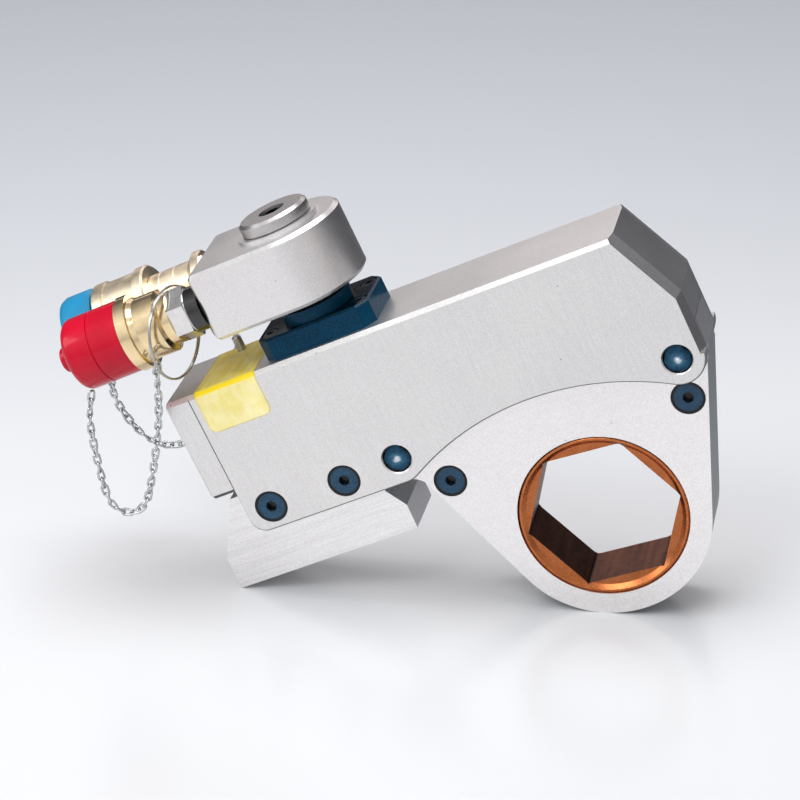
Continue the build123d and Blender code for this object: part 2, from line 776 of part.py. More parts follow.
with BuildPart() as lever_block:
    with BuildSketch(lever_side(-plate_near)):
        with Locations((0, lever_block_top / 2)):
            Rectangle(block_half * 2, lever_block_top)
        Circle(rim_radius, mode=Mode.SUBTRACT)
        with Locations((0, pawl_ceiling / 2)):
            Rectangle(pawl_width + 0.2, pawl_ceiling, mode=Mode.SUBTRACT)
        with Locations((-rivet_at[0], rivet_at[1]), rivet_at):
            Circle(rivet_radius + running, mode=Mode.SUBTRACT)
    extrude(amount=-plate_near * 2)
    lean_up = lever_side(0)
    spring_deck = Plane(origin=lean_up.origin + lean_up.y_dir * (pawl_ceiling - 1), x_dir=lean_up.x_dir,
                        z_dir=lean_up.y_dir)
    with BuildSketch(spring_deck):
        with Locations((-spring_at, 0), (spring_at, 0)):
            Circle(spring_hole)
    extrude(amount=spring_top - pawl_ceiling + 1, mode=Mode.SUBTRACT)

with BuildPart() as lever_rivets:
    with BuildSketch(lever_side(-plate_far)):
        with Locations((-rivet_at[0], rivet_at[1]), rivet_at):
            Circle(rivet_radius)
    extrude(amount=-plate_far * 2)

with BuildPart() as drive_pin:
    with BuildSketch(lever_side(-plate_far, 0, lever_reach)):
        Circle(drive_pin_radius)
    extrude(amount=-plate_far * 2)
    chamfer(drive_pin.edges().filter_by(GeomType.CIRCLE), 0.5)

pawl_recess = 5.0
with BuildPart() as drive_pawl:
    with BuildSketch(lever_side(-tooth_width / 2)):
        with Locations((0, pawl_top / 2)):
            Rectangle(pawl_width, pawl_top)
        add(ratchet_outline(0.15).rotate(Axis.Z, -swing), mode=Mode.SUBTRACT)
    extrude(amount=-tooth_width)
    pawl_deck = Plane(origin=lean_up.origin + lean_up.y_dir * pawl_top,
                      x_dir=lean_up.x_dir, z_dir=lean_up.y_dir)
    with BuildSketch(pawl_deck):
        with Locations((-spring_at, 0), (spring_at, 0)):
            Circle(spring_hole)
    extrude(amount=-pawl_recess, mode=Mode.SUBTRACT)


def coil_spring(base, mean_radius, wire, height, turns):
    """A compression spring that stands on the plane."""
    with BuildPart() as spring:
        with BuildLine() as path:
            Helix(pitch=(height - wire) / turns, height=height - wire, radius=mean_radius,
                  center=base.origin + base.z_dir * (wire / 2), direction=base.z_dir)
        with BuildSketch(Plane(origin=path.line @ 0, z_dir=path.line % 0)):
            RegularPolygon(wire / 2, 6)
        sweep(is_frenet=True)
    return spring.part


with BuildPart() as pawl_springs:
    for x in (-spring_at, spring_at):
        low = pawl_top + pawl_lift - pawl_recess + 0.2
        base = Plane(origin=lean_up.origin + lean_up.x_dir * x + lean_up.y_dir * low, x_dir=lean_up.x_dir,
                     z_dir=lean_up.y_dir)
        add(coil_spring(base, 1.8, 0.9, spring_top - low - 0.1, 5))

with BuildPart() as holding_spring:
    base = Plane(origin=spot(pocket_right + 0.2, spring_v), x_dir=deep, z_dir=along)
    add(coil_spring(base, 1.8, 0.7, 3.8, 4))

# Swivel flange with its boss, screwed to the housing's top
flange_top = body_top + flange_thickness
boss_top = flange_top + boss_height
post_spigot = 9.0
post_foot = body_top + 2
with BuildPart() as swivel_flange:
    with BuildSketch(deck(body_top, swivel_u)):
        Rectangle(*flange_size)
        chamfer(vertices(), flange_corner)
    extrude(amount=flange_thickness)
    chamfer(swivel_flange.faces().sort_by(Axis(spot(0, 0), across))[-1].edges(), 0.8)
    with BuildSketch(deck(flange_top, swivel_u)):
        Circle(boss_radius)
    extrude(amount=boss_height)
    with BuildSketch(deck(post_foot, swivel_u)):
        Circle(post_spigot + running)
    extrude(amount=boss_top - post_foot, mode=Mode.SUBTRACT)
    with BuildSketch(deck(body_top, swivel_u)):
        with GridLocations(*flange_screw_grid, 2, 2):
            Circle(m4 / 2 + 0.2)
    extrude(amount=flange_thickness, mode=Mode.SUBTRACT)
    with BuildSketch(deck(flange_top - m4 - 0.2, swivel_u)):
        with GridLocations(*flange_screw_grid, 2, 2):
            Circle(m4_head / 2 + 0.25)
    extrude(amount=m4 + 1, mode=Mode.SUBTRACT)
    with BuildSketch(deck(body_top, swivel_u)):
        with Locations((-7, 0)):
            Circle(2)
    extrude(amount=3, mode=Mode.SUBTRACT)

with BuildPart() as flange_screws:
    for u in (-flange_screw_grid[0] / 2, flange_screw_grid[0] / 2):
        for y in (-flange_screw_grid[1] / 2, flange_screw_grid[1] / 2):
            add(cap_screw(deck(flange_top - m4 - 0.2, swivel_u + u, y), m4, m4_head, m4_key, 10))

# Swivel post with its seals; the block turns on it
post_line = Plane(origin=spot(swivel_u, 0), x_dir=across, z_dir=deep)
seal_heights = [block_under + 3.5, block_under + block_height / 2, block_top - 3.5]
seal_section = 1.8
with BuildPart() as swivel_post:
    collar = block_under - loose
    add(turned(post_line, [
        (post_foot, 0), (post_foot, post_spigot), (boss_top, post_spigot), (boss_top, 13.0), (collar, 13.0),
        (collar, post_radius), (post_top, post_radius), (post_top, 0)]))
    for height in seal_heights:
        with BuildSketch(deck(height - 1.1, swivel_u)):
            Circle(post_radius + 1)
            Circle(post_radius - 1.6, mode=Mode.SUBTRACT)
        extrude(amount=2.2, mode=Mode.SUBTRACT)
    with BuildSketch(deck(post_top, swivel_u)):
        Circle(m6 / 2 + running)
    extrude(amount=-14, mode=Mode.SUBTRACT)
    with BuildSketch(deck(post_foot, swivel_u)):
        with Locations((-5, 0)):
            Circle(1.6)
    extrude(amount=coupler_v - post_foot, mode=Mode.SUBTRACT)

with BuildPart() as post_seals:
    for height in seal_heights:
        add(o_ring(post_line, height, post_radius - 0.75, seal_section - 0.3))

# Manifold block: round at the post, square at the couplers
port_depth = 16.0
with BuildPart() as manifold_block:
    with BuildSketch(turret(block_under)):
        Circle(block_radius)
        with Locations((-block_reach / 2, 0)):
            Rectangle(block_reach, block_radius * 2)
        square = [vertices().sort_by_distance((-block_reach, y))[0] for y in (-block_radius, block_radius)]
        fillet(square, 2.5)
    extrude(amount=block_height)
    top_and_bottom = manifold_block.faces().filter_by(Axis(spot(0, 0), across))
    chamfer(top_and_bottom.edges(), 1.5)
    with BuildSketch(turret(block_under)):
        Circle(post_radius + running)
    extrude(amount=block_height, mode=Mode.SUBTRACT)
    for q in (-coupler_offset, coupler_offset):
        with BuildSketch(outlet(block_reach, q)):
            Circle(port_radius)
        extrude(amount=-port_depth, mode=Mode.SUBTRACT)

with BuildPart() as thrust_washer:
    with BuildSketch(deck(block_top, swivel_u)):
        Circle(washer_radius)
        Circle(post_radius + loose, mode=Mode.SUBTRACT)
    extrude(amount=washer_height)

# Retaining disc on the post's top, held by a socket screw
disc_top = post_top + disc_height
disc_screw_head = 10.3
disc_head_height = 3.4
disc_seat = disc_top - disc_head_height - 0.5
with BuildPart() as retaining_disc:
    with BuildSketch(deck(post_top, swivel_u)):
        Circle(disc_radius)
    extrude(amount=disc_height)
    chamfer(retaining_disc.faces().sort_by(Axis(spot(0, 0), across))[-1].edges(), 1.2)
    with BuildSketch(deck(post_top, swivel_u)):
        Circle(m6 / 2 + 0.2)
    extrude(amount=disc_height, mode=Mode.SUBTRACT)
    with BuildSketch(deck(disc_seat, swivel_u)):
        Circle(disc_screw_head / 2 + 0.25)
    extrude(amount=disc_height, mode=Mode.SUBTRACT)

with BuildPart() as disc_screw:
    with BuildSketch(deck(disc_seat, swivel_u)):
        Circle(disc_screw_head / 2)
    extrude(amount=disc_head_height)
    with BuildSketch(deck(disc_seat + disc_head_height, swivel_u)):
        RegularPolygon(2.5, 6, major_radius=False)
    extrude(amount=-2.4, mode=Mode.SUBTRACT)
    with BuildSketch(deck(disc_seat, swivel_u)):
        Circle(m6 / 2)
    extrude(amount=-12)

with BuildPart() as small_pin:
    with BuildSketch(deck(body_top - 4.5, *small_pin_at)):
        Circle(small_pin_radius)
    extrude(amount=small_pin_top - body_top + 4.5)
    chamfer(small_pin.edges().filter_by(GeomType.CIRCLE), 0.4)

# Yellow tape folded over the top front edge
tape_left = -130.4
tape_right = -103.0
tape_low = 89.0
tape_back = 20.0
tape = 0.35
tape_gap = 0.02
with BuildPart() as yellow_tape:
    with BuildSketch(end(tape_left)):
        with BuildLine():
            face_y = -body_half - tape_gap
            deck_v = body_top + tape_gap
            Polyline((face_y, tape_low), (face_y, body_top - edge_chamfer),
                     (-body_half + edge_chamfer, deck_v), (tape_back, deck_v), (tape_back, deck_v + tape),
                     (-body_half + edge_chamfer - tape * 0.4, deck_v + tape),
                     (face_y - tape, body_top - edge_chamfer + tape * 0.4), (face_y - tape, tape_low),
                     close=True)
        make_face()
    extrude(amount=tape_right - tape_left)
    with BuildSketch(deck(body_top - 1, *small_pin_at)):
        Circle(small_pin_radius + loose)
    extrude(amount=3, mode=Mode.SUBTRACT)

# Adapters: a thread in the block, a round collar and a hexagon
thread_radius = port_radius - running
adapter_bore = 2.5
near_hex = (41.2, 48.4)
far_hex = (37.0, 41.5)


def adapter(q, hex_from, hex_to):
    """A hexagon adapter on the side q, with a thread at each end."""
    with BuildPart() as piece:
        add(turned(nozzle(q), [
            (block_reach - port_depth + 3, adapter_bore), (block_reach - port_depth + 3, thread_radius),
            (block_reach, thread_radius), (block_reach, 9.2), (hex_from, 9.2), (hex_from, adapter_bore)]))
        with BuildSketch(outlet(hex_from, q)):
            RegularPolygon(adapter_flats / 2, 6, major_radius=False, rotation=30)
            Circle(adapter_bore, mode=Mode.SUBTRACT)
        extrude(amount=hex_to - hex_from)
        add(turned(nozzle(q), [
            (hex_to, adapter_bore), (hex_to, 5.8), (hex_to + 7.5, 5.8), (hex_to + 7.5, adapter_bore)]))
    return piece.part


with BuildPart() as advance_adapter:
    add(adapter(-coupler_offset, *near_hex))
with BuildPart() as retract_adapter:
    add(adapter(coupler_offset, *far_hex))

# Male coupler half under the red cap
lip_at = 64.0
red_cap_at = 68.8
red_cap_end = 98.2
male_end = 90.0
male_nose = 11.0
ball_groove = male_end - 13.5
with BuildPart() as male_coupler:
    neck = near_hex[1]
    add(turned(nozzle(-coupler_offset), [
        (neck, 5.85), (neck, 10.5), (neck + 3.4, 10.5), (neck + 4.4, 12.8), (lip_at - 2, 12.8),
        (lip_at, 13.6), (lip_at, lip_radius), (red_cap_at - 0.1, lip_radius), (red_cap_at - 0.1, male_nose),
        (ball_groove - 2.5, male_nose), (ball_groove - 1.5, male_nose - 1),
        (ball_groove + 1.5, male_nose - 1), (ball_groove + 2.5, male_nose), (male_end - 1, male_nose),
        (male_end, male_nose - 1),
        (male_end, 5), (male_end - 5, 3.4), (neck + 10, 3.4), (neck + 8, 5.85)]))

with BuildPart() as male_poppet:
    add(turned(nozzle(-coupler_offset), [
        (male_end - 12, 0), (male_end - 12, 3.2), (male_end - 5.2, 3.2), (male_end - 1, 4.5),
        (male_end - 0.4, 4.5), (male_end - 0.4, 0)]))

cap_wall = male_nose + loose
cap_line = red_cap_end - 12.5
knob_radius = 5.2
knob_end = red_cap_end + 4.1
with BuildPart() as red_cap:
    add(turned(nozzle(-coupler_offset), [
        (red_cap_at, cap_wall), (red_cap_at, cap_radius), (cap_line - 0.5, cap_radius),
        (cap_line - 0.2, cap_radius - 0.4), (cap_line + 0.2, cap_radius - 0.4), (cap_line + 0.5, cap_radius),
        (red_cap_end - 3.2, cap_radius), (red_cap_end - 1.0, cap_radius - 1.3),
        (red_cap_end, cap_radius - 4), (red_cap_end, knob_radius), (knob_end - 0.7, knob_radius),
        (knob_end, knob_radius - 0.8), (knob_end, 0), (male_end + 0.5, 0), (male_end + 0.5, cap_wall)]))

# Female coupler half with its sliding sleeve, under the blue cap
flare_radius = 13.1
thin_radius = 10.6
sleeve_at = 65.5
sleeve_end = 89.5
female_end = 89.0
socket_radius = 8.0
socket_floor = female_end - 23.0
recess_at = (sleeve_at + 3.1, sleeve_end - 7.0)
stop_at = (recess_at[0] + 0.4, recess_at[0] + 2.4)
recess_radius = 13.1
stop_radius = recess_radius - loose
sleeve_bore = thin_radius + loose
seam_at = (53.7, 60.3)
with BuildPart() as female_coupler:
    root = far_hex[1]
    add(turned(nozzle(coupler_offset), [
        (root, 5.85), (root, flare_radius - 0.8), (root + 0.6, flare_radius), (root + 3, flare_radius),
        (root + 5.5, thin_radius), (seam_at[0] - 0.3, thin_radius), (seam_at[0], thin_radius - 0.3),
        (seam_at[0] + 0.3, thin_radius), (seam_at[1] - 0.3, thin_radius), (seam_at[1], thin_radius - 0.3),
        (seam_at[1] + 0.3, thin_radius), (stop_at[0], thin_radius), (stop_at[0], stop_radius),
        (stop_at[1], stop_radius), (stop_at[1], thin_radius), (female_end - 0.8, thin_radius),
        (female_end, thin_radius - 0.8), (female_end, socket_radius), (socket_floor, socket_radius),
        (socket_floor - 2, 4), (root + 9, 4), (root + 8, 5.85)]))

with BuildPart() as female_poppet:
    add(turned(nozzle(coupler_offset), [
        (socket_floor - 12, 0), (socket_floor - 12, 3.7), (socket_floor - 1.6, 3.7),
        (socket_floor + 0.4, 6.6), (socket_floor + 2, 6.6), (socket_floor + 3, 3.4),
        (socket_floor + 5, 3.0), (socket_floor + 5, 0)]))

with BuildPart() as coupler_sleeve:
    add(turned(nozzle(coupler_offset), [
        (sleeve_at, sleeve_bore), (sleeve_at, lip_radius - 0.6), (sleeve_at + 0.8, lip_radius + 0.2),
        (sleeve_at + 4.4, lip_radius + 0.2), (sleeve_at + 5, lip_radius - 0.8),
        (sleeve_end - 5.1, lip_radius - 0.8),
        (sleeve_end - 4.7, lip_radius), (sleeve_end - 0.6, lip_radius), (sleeve_end, lip_radius - 0.6),
        (sleeve_end, sleeve_bore), (recess_at[1], sleeve_bore), (recess_at[1], recess_radius),
        (recess_at[0], recess_radius), (recess_at[0], sleeve_bore)]))

with BuildPart() as sleeve_spring:
    add(coil_spring(Plane(origin=outlet(stop_at[1] + 0.1, coupler_offset).origin, x_dir=across, z_dir=-arm),
                    11.95, 1.1, 6.0, 3))

blue_cap_at = 91.0
blue_cap_end = 105.5
blue_radius = 15.0
blue_rim = 1.5
plug_radius = socket_radius - loose
plug_at = blue_cap_at - 18.0
with BuildPart() as blue_cap:
    add(turned(nozzle(coupler_offset), [
        (plug_at, 0), (plug_at, plug_radius - 1), (plug_at + 1, plug_radius), (blue_cap_at, plug_radius),
        (blue_cap_at, blue_radius - blue_rim), (blue_cap_at + blue_rim, blue_radius),
        (blue_cap_end - 3, blue_radius),
        (blue_cap_end - 0.9, blue_radius - 0.9), (blue_cap_end, blue_radius - 3), (blue_cap_end, 0)]))

# Wire rings on the two couplers
ring_turn = -14.4
ring_lean = 15.0
ring_drop = 5.7


def wire_ring(s, q, drop, turn):
    """A wire ring that hangs on a coupler, turned and leaned as it lies."""
    level = along * cos(radians(turn)) + deep * sin(radians(turn))
    normal = level * cos(radians(ring_lean)) - across * sin(radians(ring_lean))
    middle = outlet(s, q).origin - across * drop
    with BuildPart() as ring:
        with BuildSketch(Plane(origin=middle, x_dir=deep.cross(normal), z_dir=deep)):
            with Locations((ring_radius, 0)):
                RegularPolygon(ring_wire / 2, 8)
        revolve(axis=Axis(middle, normal))
    return ring.part


with BuildPart() as wire_ring_red:
    add(wire_ring(52.6, -coupler_offset, ring_drop, ring_turn))
with BuildPart() as wire_ring_blue:
    add(wire_ring(42.0, coupler_offset, ring_drop, 0))

# Chains of the caps, as plain tubes along their hanging line
red_route = [
    (-173.4, -32.3, 57.3), (-173.6, -30.8, 49.5), (-174.4, -29.2, 41.2), (-175.7, -27.8, 32.6),
    (-177.3, -26.7, 24.0), (-179.1, -25.8, 15.8), (-181.0, -25.1, 8.0), (-182.5, -24.7, 1.6),
    (-184.6, -24.4, -3.4), (-188.2, -24.2, -6.4), (-192.6, -24.0, -7.2), (-196.9, -23.8, -5.6),
    (-199.9, -23.6, -2.0), (-201.4, -23.4, 3.6), (-202.7, -23.2, 10.2), (-203.9, -23.0, 17.2),
    (-204.9, -22.8, 24.4), (-205.6, -22.5, 31.4), (-205.3, -22.0, 38.2), (-204.1, -21.4, 44.4)]
blue_route = [
    (-204.8, 13.9, 42.8), (-207.6, 14.8, 36.6), (-209.2, 16.4, 29.8), (-208.4, 19.2, 22.4),
    (-206.0, 22.0, 15.6), (-202.8, 24.2, 9.4), (-198.9, 25.8, 4.2), (-194.2, 26.9, 0.8),
    (-188.8, 27.9, -0.7), (-183.2, 28.7, 0.0), (-178.0, 29.2, 2.9), (-173.2, 29.4, 7.6),
    (-168.9, 29.4, 13.6), (-165.2, 29.2, 20.4), (-162.2, 28.8, 27.8), (-160.0, 28.2, 35.6),
    (-158.8, 27.6, 43.6), (-158.4, 27.0, 51.6)]


def chain_tube(route, name):
    """A tube of the chain's width along straight runs joined by arcs."""
    points = [Vector(*point) for point in route]
    runs = [b - a for a, b in zip(points, points[1:])]
    turns = [a.get_angle(b) for a, b in zip(runs, runs[1:])]
    radii = [0.45 * min(a.length, b.length) / tan(radians(turn / 2))
             for a, b, turn in zip(runs, runs[1:], turns)]
    print(name, "radii", [round(radius, 1) for radius in radii])
    with BuildPart() as tube:
        with BuildLine() as path:
            FilletPolyline(*points, radius=radii)
        with BuildSketch(Plane(origin=points[0], z_dir=runs[0])):
            Circle(chain_width / 2)
        sweep()
    section = pi * (chain_width / 2) ** 2
    path_length = sum(edge.length for edge in path.edges())
    print(name, "length", round(path_length, 1), "volume over section times length",
          round(tube.part.volume / (section * path_length), 4))
    return tube.part


with BuildPart() as cap_chain_red:
    add(chain_tube(red_route, "red chain"))
with BuildPart() as cap_chain_blue:
    add(chain_tube(blue_route, "blue chain"))

pieces = {
    "drive_housing": drive_housing,
    "end_cap": end_cap,
    "end_cap_screws": end_cap_screws,
    "end_cap_seal": end_cap_seal,
    "rod_gland": rod_gland,
    "gland_seals": gland_seals,
    "piston": piston,
    "piston_seals": piston_seals,
    "piston_rod": piston_rod,
    "rod_hook": rod_hook,
    "reaction_foot": reaction_foot,
    "foot_screws": foot_screws,
    "link_plate_front": link_plate_front,
    "link_plate_back": link_plate_back,
    "link_core": link_core,
    "link_screws": link_screws,
    "link_pins": link_pins,
    "holding_pawl": holding_pawl,
    "holding_pawl_pin": holding_pawl_pin,
    "holding_spring": holding_spring,
    "ratchet": ratchet,
    "drive_plate_front": drive_plate_front,
    "drive_plate_back": drive_plate_back,
    "lever_block": lever_block,
    "lever_rivets": lever_rivets,
    "drive_pin": drive_pin,
    "drive_pawl": drive_pawl,
    "pawl_springs": pawl_springs,
    "swivel_flange": swivel_flange,
    "flange_screws": flange_screws,
    "swivel_post": swivel_post,
    "post_seals": post_seals,
    "manifold_block": manifold_block,
    "thrust_washer": thrust_washer,
    "retaining_disc": retaining_disc,
    "disc_screw": disc_screw,
    "small_pin": small_pin,
    "yellow_tape": yellow_tape,
    "advance_adapter": advance_adapter,
    "retract_adapter": retract_adapter,
    "male_coupler": male_coupler,
    "male_poppet": male_poppet,
    "red_cap": red_cap,
    "female_coupler": female_coupler,
    "female_poppet": female_poppet,
    "coupler_sleeve": coupler_sleeve,
    "sleeve_spring": sleeve_spring,
    "blue_cap": blue_cap,
    "wire_ring_red": wire_ring_red,
    "wire_ring_blue": wire_ring_blue,
    "cap_chain_red": cap_chain_red,
    "cap_chain_blue": cap_chain_blue,
}
for label, piece in pieces.items():
    piece.part.label = label
    export_step(piece.part, "parts/" + label + ".step")
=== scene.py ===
import json
from math import atan2, cos, pi, radians, sin

import bpy
from mathutils import Matrix, Vector, noise


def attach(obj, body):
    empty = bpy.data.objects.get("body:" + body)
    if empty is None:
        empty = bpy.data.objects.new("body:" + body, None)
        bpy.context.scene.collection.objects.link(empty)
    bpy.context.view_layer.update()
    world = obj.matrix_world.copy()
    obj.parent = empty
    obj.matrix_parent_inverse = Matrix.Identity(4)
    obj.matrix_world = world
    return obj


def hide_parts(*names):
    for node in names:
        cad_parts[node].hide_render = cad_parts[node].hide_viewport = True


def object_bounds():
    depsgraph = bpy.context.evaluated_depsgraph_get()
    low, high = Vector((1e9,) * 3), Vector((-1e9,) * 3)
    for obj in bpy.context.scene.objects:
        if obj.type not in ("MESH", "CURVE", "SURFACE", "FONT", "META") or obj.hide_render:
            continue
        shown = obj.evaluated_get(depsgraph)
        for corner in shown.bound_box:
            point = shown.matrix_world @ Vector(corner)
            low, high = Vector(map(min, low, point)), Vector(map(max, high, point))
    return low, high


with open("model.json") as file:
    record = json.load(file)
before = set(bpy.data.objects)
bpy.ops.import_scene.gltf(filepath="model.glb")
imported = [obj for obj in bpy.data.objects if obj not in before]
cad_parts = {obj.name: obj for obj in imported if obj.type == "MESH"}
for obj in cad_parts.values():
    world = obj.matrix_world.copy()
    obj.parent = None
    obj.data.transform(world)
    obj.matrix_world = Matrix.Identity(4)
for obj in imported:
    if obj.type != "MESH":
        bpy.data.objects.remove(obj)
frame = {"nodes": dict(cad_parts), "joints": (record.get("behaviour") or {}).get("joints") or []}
cad_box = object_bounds()

# The tool's own axes and places, from the frame; lengths are in metres
joints = {joint["name"]: joint for joint in frame["joints"]}
along = Vector(joints["piston_slide"]["axis"])
across = Vector(joints["swivel_turn"]["axis"])
deep = Vector((0, 1, 0))
arm = Vector(joints["sleeve_slide"]["axis"])
tilt = atan2(along.z, along.x)
mm = 0.001


def spot(u, v, y=0.0):
    """A point given in the tool's own axes, in millimetres."""
    return (along * u + across * v + deep * y) * mm


# Camera at the photograph's angle
camera_azimuth = radians(11.92)
camera_elevation = radians(23.745)
camera_roll = radians(-1.772)
camera_distance = 1.0868
camera_aim = Vector((-0.0833, -0.0002, 0.0386))
camera_lens = 122.96


def add_camera():
    data = bpy.data.cameras.new("camera")
    data.lens = camera_lens
    data.sensor_width = 36
    data.clip_start = 0.01
    data.clip_end = 50
    camera = bpy.data.objects.new("camera", data)
    bpy.context.scene.collection.objects.link(camera)
    right = Vector((cos(camera_azimuth), sin(camera_azimuth), 0))
    back = Vector((sin(camera_azimuth) * cos(camera_elevation),
                   -cos(camera_azimuth) * cos(camera_elevation), sin(camera_elevation)))
    up = back.cross(right)
    turn = Matrix((right, up, back)).transposed() @ Matrix.Rotation(camera_roll, 3, "Z")
    camera.matrix_world = Matrix.Translation(camera_aim + back * camera_distance) @ turn.to_4x4()
    bpy.context.scene.camera = camera


add_camera()


def add_mesh(name, vertices, faces, smooth=True):
    mesh = bpy.data.meshes.new(name)
    mesh.from_pydata([tuple(v) for v in vertices], [], faces)
    mesh.update()
    if smooth:
        mesh.shade_smooth()
    piece = bpy.data.objects.new(name, mesh)
    bpy.context.scene.collection.objects.link(piece)
    return piece


def tube(points, radius, closed=False, sides=10):
    """Vertices and faces of a round wire along the points."""
    count = len(points)
    vertices = []
    faces = []
    side = None
    for i, point in enumerate(points):
        before = points[i - 1] if closed or i else point
        after = points[(i + 1) % count] if closed or i < count - 1 else point
        ahead = (after - before).normalized()
        if side is None:
            side = ahead.orthogonal().normalized()
        side = (side - ahead * side.dot(ahead)).normalized()
        up = ahead.cross(side)
        for k in range(sides):
            angle = 2 * pi * k / sides
            vertices.append(point + side * (radius * cos(angle)) + up * (radius * sin(angle)))
    for i in range(count if closed else count - 1):
        j = (i + 1) % count
        for k in range(sides):
            m = (k + 1) % sides
            faces.append((i * sides + k, i * sides + m, j * sides + m, j * sides + k))
    if not closed:
        faces.append(tuple(reversed(range(sides))))
        faces.append(tuple(range((count - 1) * sides, count * sides)))
    return vertices, faces


# Chains of the caps: links that follow the hanging line
link_pitch = 3.45 * mm
link_wire = 0.48 * mm
link_half_width = 1.25 * mm
link_straight = 1.0 * mm
link_twist = radians(38)
link_steps = 22
end_links = 2
end_link_scale = 1.35
red_route = [
    (-0.1723, -0.0338, 0.0632), (-0.1734, -0.0323, 0.0573), (-0.1736, -0.0308, 0.0495),
    (-0.1744, -0.0292, 0.0412), (-0.1757, -0.0278, 0.0326), (-0.1773, -0.0267, 0.0240),
    (-0.1791, -0.0258, 0.0158), (-0.1810, -0.0251, 0.0080), (-0.1825, -0.0247, 0.0016),
    (-0.1846, -0.0244, -0.0034), (-0.1882, -0.0242, -0.0064), (-0.1926, -0.0240, -0.0072),
    (-0.1969, -0.0238, -0.0056), (-0.1999, -0.0236, -0.0020), (-0.2014, -0.0234, 0.0036),
    (-0.2027, -0.0232, 0.0102), (-0.2039, -0.0230, 0.0172), (-0.2049, -0.0228, 0.0244),
    (-0.2056, -0.0225, 0.0314), (-0.2053, -0.0220, 0.0382), (-0.2041, -0.0214, 0.0444)]
blue_route = [
    (-0.2048, 0.0139, 0.0428), (-0.2084, 0.0185, 0.0349), (-0.2106, 0.0228, 0.0269),
    (-0.2096, 0.0250, 0.0198), (-0.2067, 0.0254, 0.0141), (-0.2031, 0.0256, 0.0088),
    (-0.1990, 0.0262, 0.0040), (-0.1942, 0.0269, 0.0008), (-0.1888, 0.0279, -0.0007),
    (-0.1832, 0.0287, 0.0000), (-0.1780, 0.0292, 0.0029), (-0.1732, 0.0294, 0.0076),
    (-0.1689, 0.0294, 0.0136), (-0.1650, 0.0292, 0.0204), (-0.1614, 0.0288, 0.0278),
    (-0.1584, 0.0282, 0.0356), (-0.1568, 0.0276, 0.0436), (-0.1568, 0.0270, 0.0516)]


def hanging_line(route):
    """Points along the smooth curve that a chain hangs in."""
    curve = bpy.data.curves.new("hanging_line", "CURVE")
    curve.dimensions = "3D"
    curve.resolution_u = 24
    spline = curve.splines.new("NURBS")
    spline.points.add(len(route) - 1)
    for point, place in zip(spline.points, route):
        point.co = (*place, 1)
    spline.order_u = 3
    spline.use_endpoint_u = True
    holder = bpy.data.objects.new("hanging_line", curve)
    mesh = bpy.data.meshes.new_from_object(holder)
    line = [v.co.copy() for v in mesh.vertices]
    bpy.data.meshes.remove(mesh)
    bpy.data.objects.remove(holder)
    bpy.data.curves.remove(curve)
    return line


def at_length(line, lengths, s):
    """The point of the line at the length s from its start."""
    for i in range(len(line) - 1):
        if lengths[i + 1] >= s:
            share = (s - lengths[i]) / (lengths[i + 1] - lengths[i])
            return line[i].lerp(line[i + 1], share)
    return line[-1].copy()


def link_points():
    """The centre line of one twisted oval link, along X."""
    points = []
    for k in range(link_steps):
        angle = 2 * pi * (k + 0.5) / link_steps
        x = link_half_width * cos(angle) + (link_straight if cos(angle) > 0 else -link_straight)
        y = link_half_width * sin(angle)
        turn = link_twist * (x / (link_straight + link_half_width)) / 2
        points.append(Vector((x, y * cos(turn), y * sin(turn))))
    return points


def chain(name, route):
    """Links along the line, each about square to the last; gives the piece and its line."""
    line = hanging_line(route)
    lengths = [0.0]
    for a, b in zip(line, line[1:]):
        lengths.append(lengths[-1] + (b - a).length)
    count = round(lengths[-1] / link_pitch)
    pitch = lengths[-1] / count
    vertices = []
    faces = []
    side = deep
    shape = link_points()
    for i in range(count):
        start = at_length(line, lengths, pitch * i)
        stop = at_length(line, lengths, pitch * (i + 1))
        ahead = (stop - start).normalized()
        side = (side - ahead * side.dot(ahead)).normalized()
        up = ahead.cross(side)
        turn = radians(35 + 90 * (i % 2) + 24 * sin(2.3 * i) + 3 * i)
        y_axis = side * cos(turn) + up * sin(turn)
        z_axis = ahead.cross(y_axis)
        middle = (start + stop) / 2
        size = end_link_scale if i < end_links else 1.0
        ring = [middle + (ahead * p.x + y_axis * p.y + z_axis * p.z) * size for p in shape]
        more, sheets = tube(ring, link_wire, closed=True, sides=8)
        base = len(vertices)
        vertices += more
        faces += [tuple(base + n for n in face) for face in sheets]
    return add_mesh(name, vertices, faces), line


red_chain, red_line = chain("link_chain_red", red_route)
blue_chain, blue_line = chain("link_chain_blue", blue_route)
for piece, node in ((red_chain, "cap_chain_red"), (blue_chain, "cap_chain_blue")):
    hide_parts(node)
    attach(piece, "manifold")


# Places on the manifold: s is the way outwards from the swivel's post, q the way to the side
swivel_u = -74.0
coupler_v = 138.8
coupler_offset = 17.0
sideways = across.cross(arm)


def outlet(s, q=0.0):
    """A point at the couplers' height, in metres, from distances in millimetres."""
    return spot(swivel_u, coupler_v) - arm * (s * mm) + sideways * (q * mm)


# Split rings: two coils of thin wire, in place of the plain rings
ring_lean = radians(15)
ring_drop = 5.7
ring_radius = 18.4
ring_turns = 2.1
ring_steps = 150
ring_start = radians(200)
coil_wire = 0.42
coil_step = 0.62
coil_steepness = 1.6
near_ring_s = 52.6
near_ring_turn = radians(-14.4)
far_ring_s = 42.0
far_ring_turn = 0.0


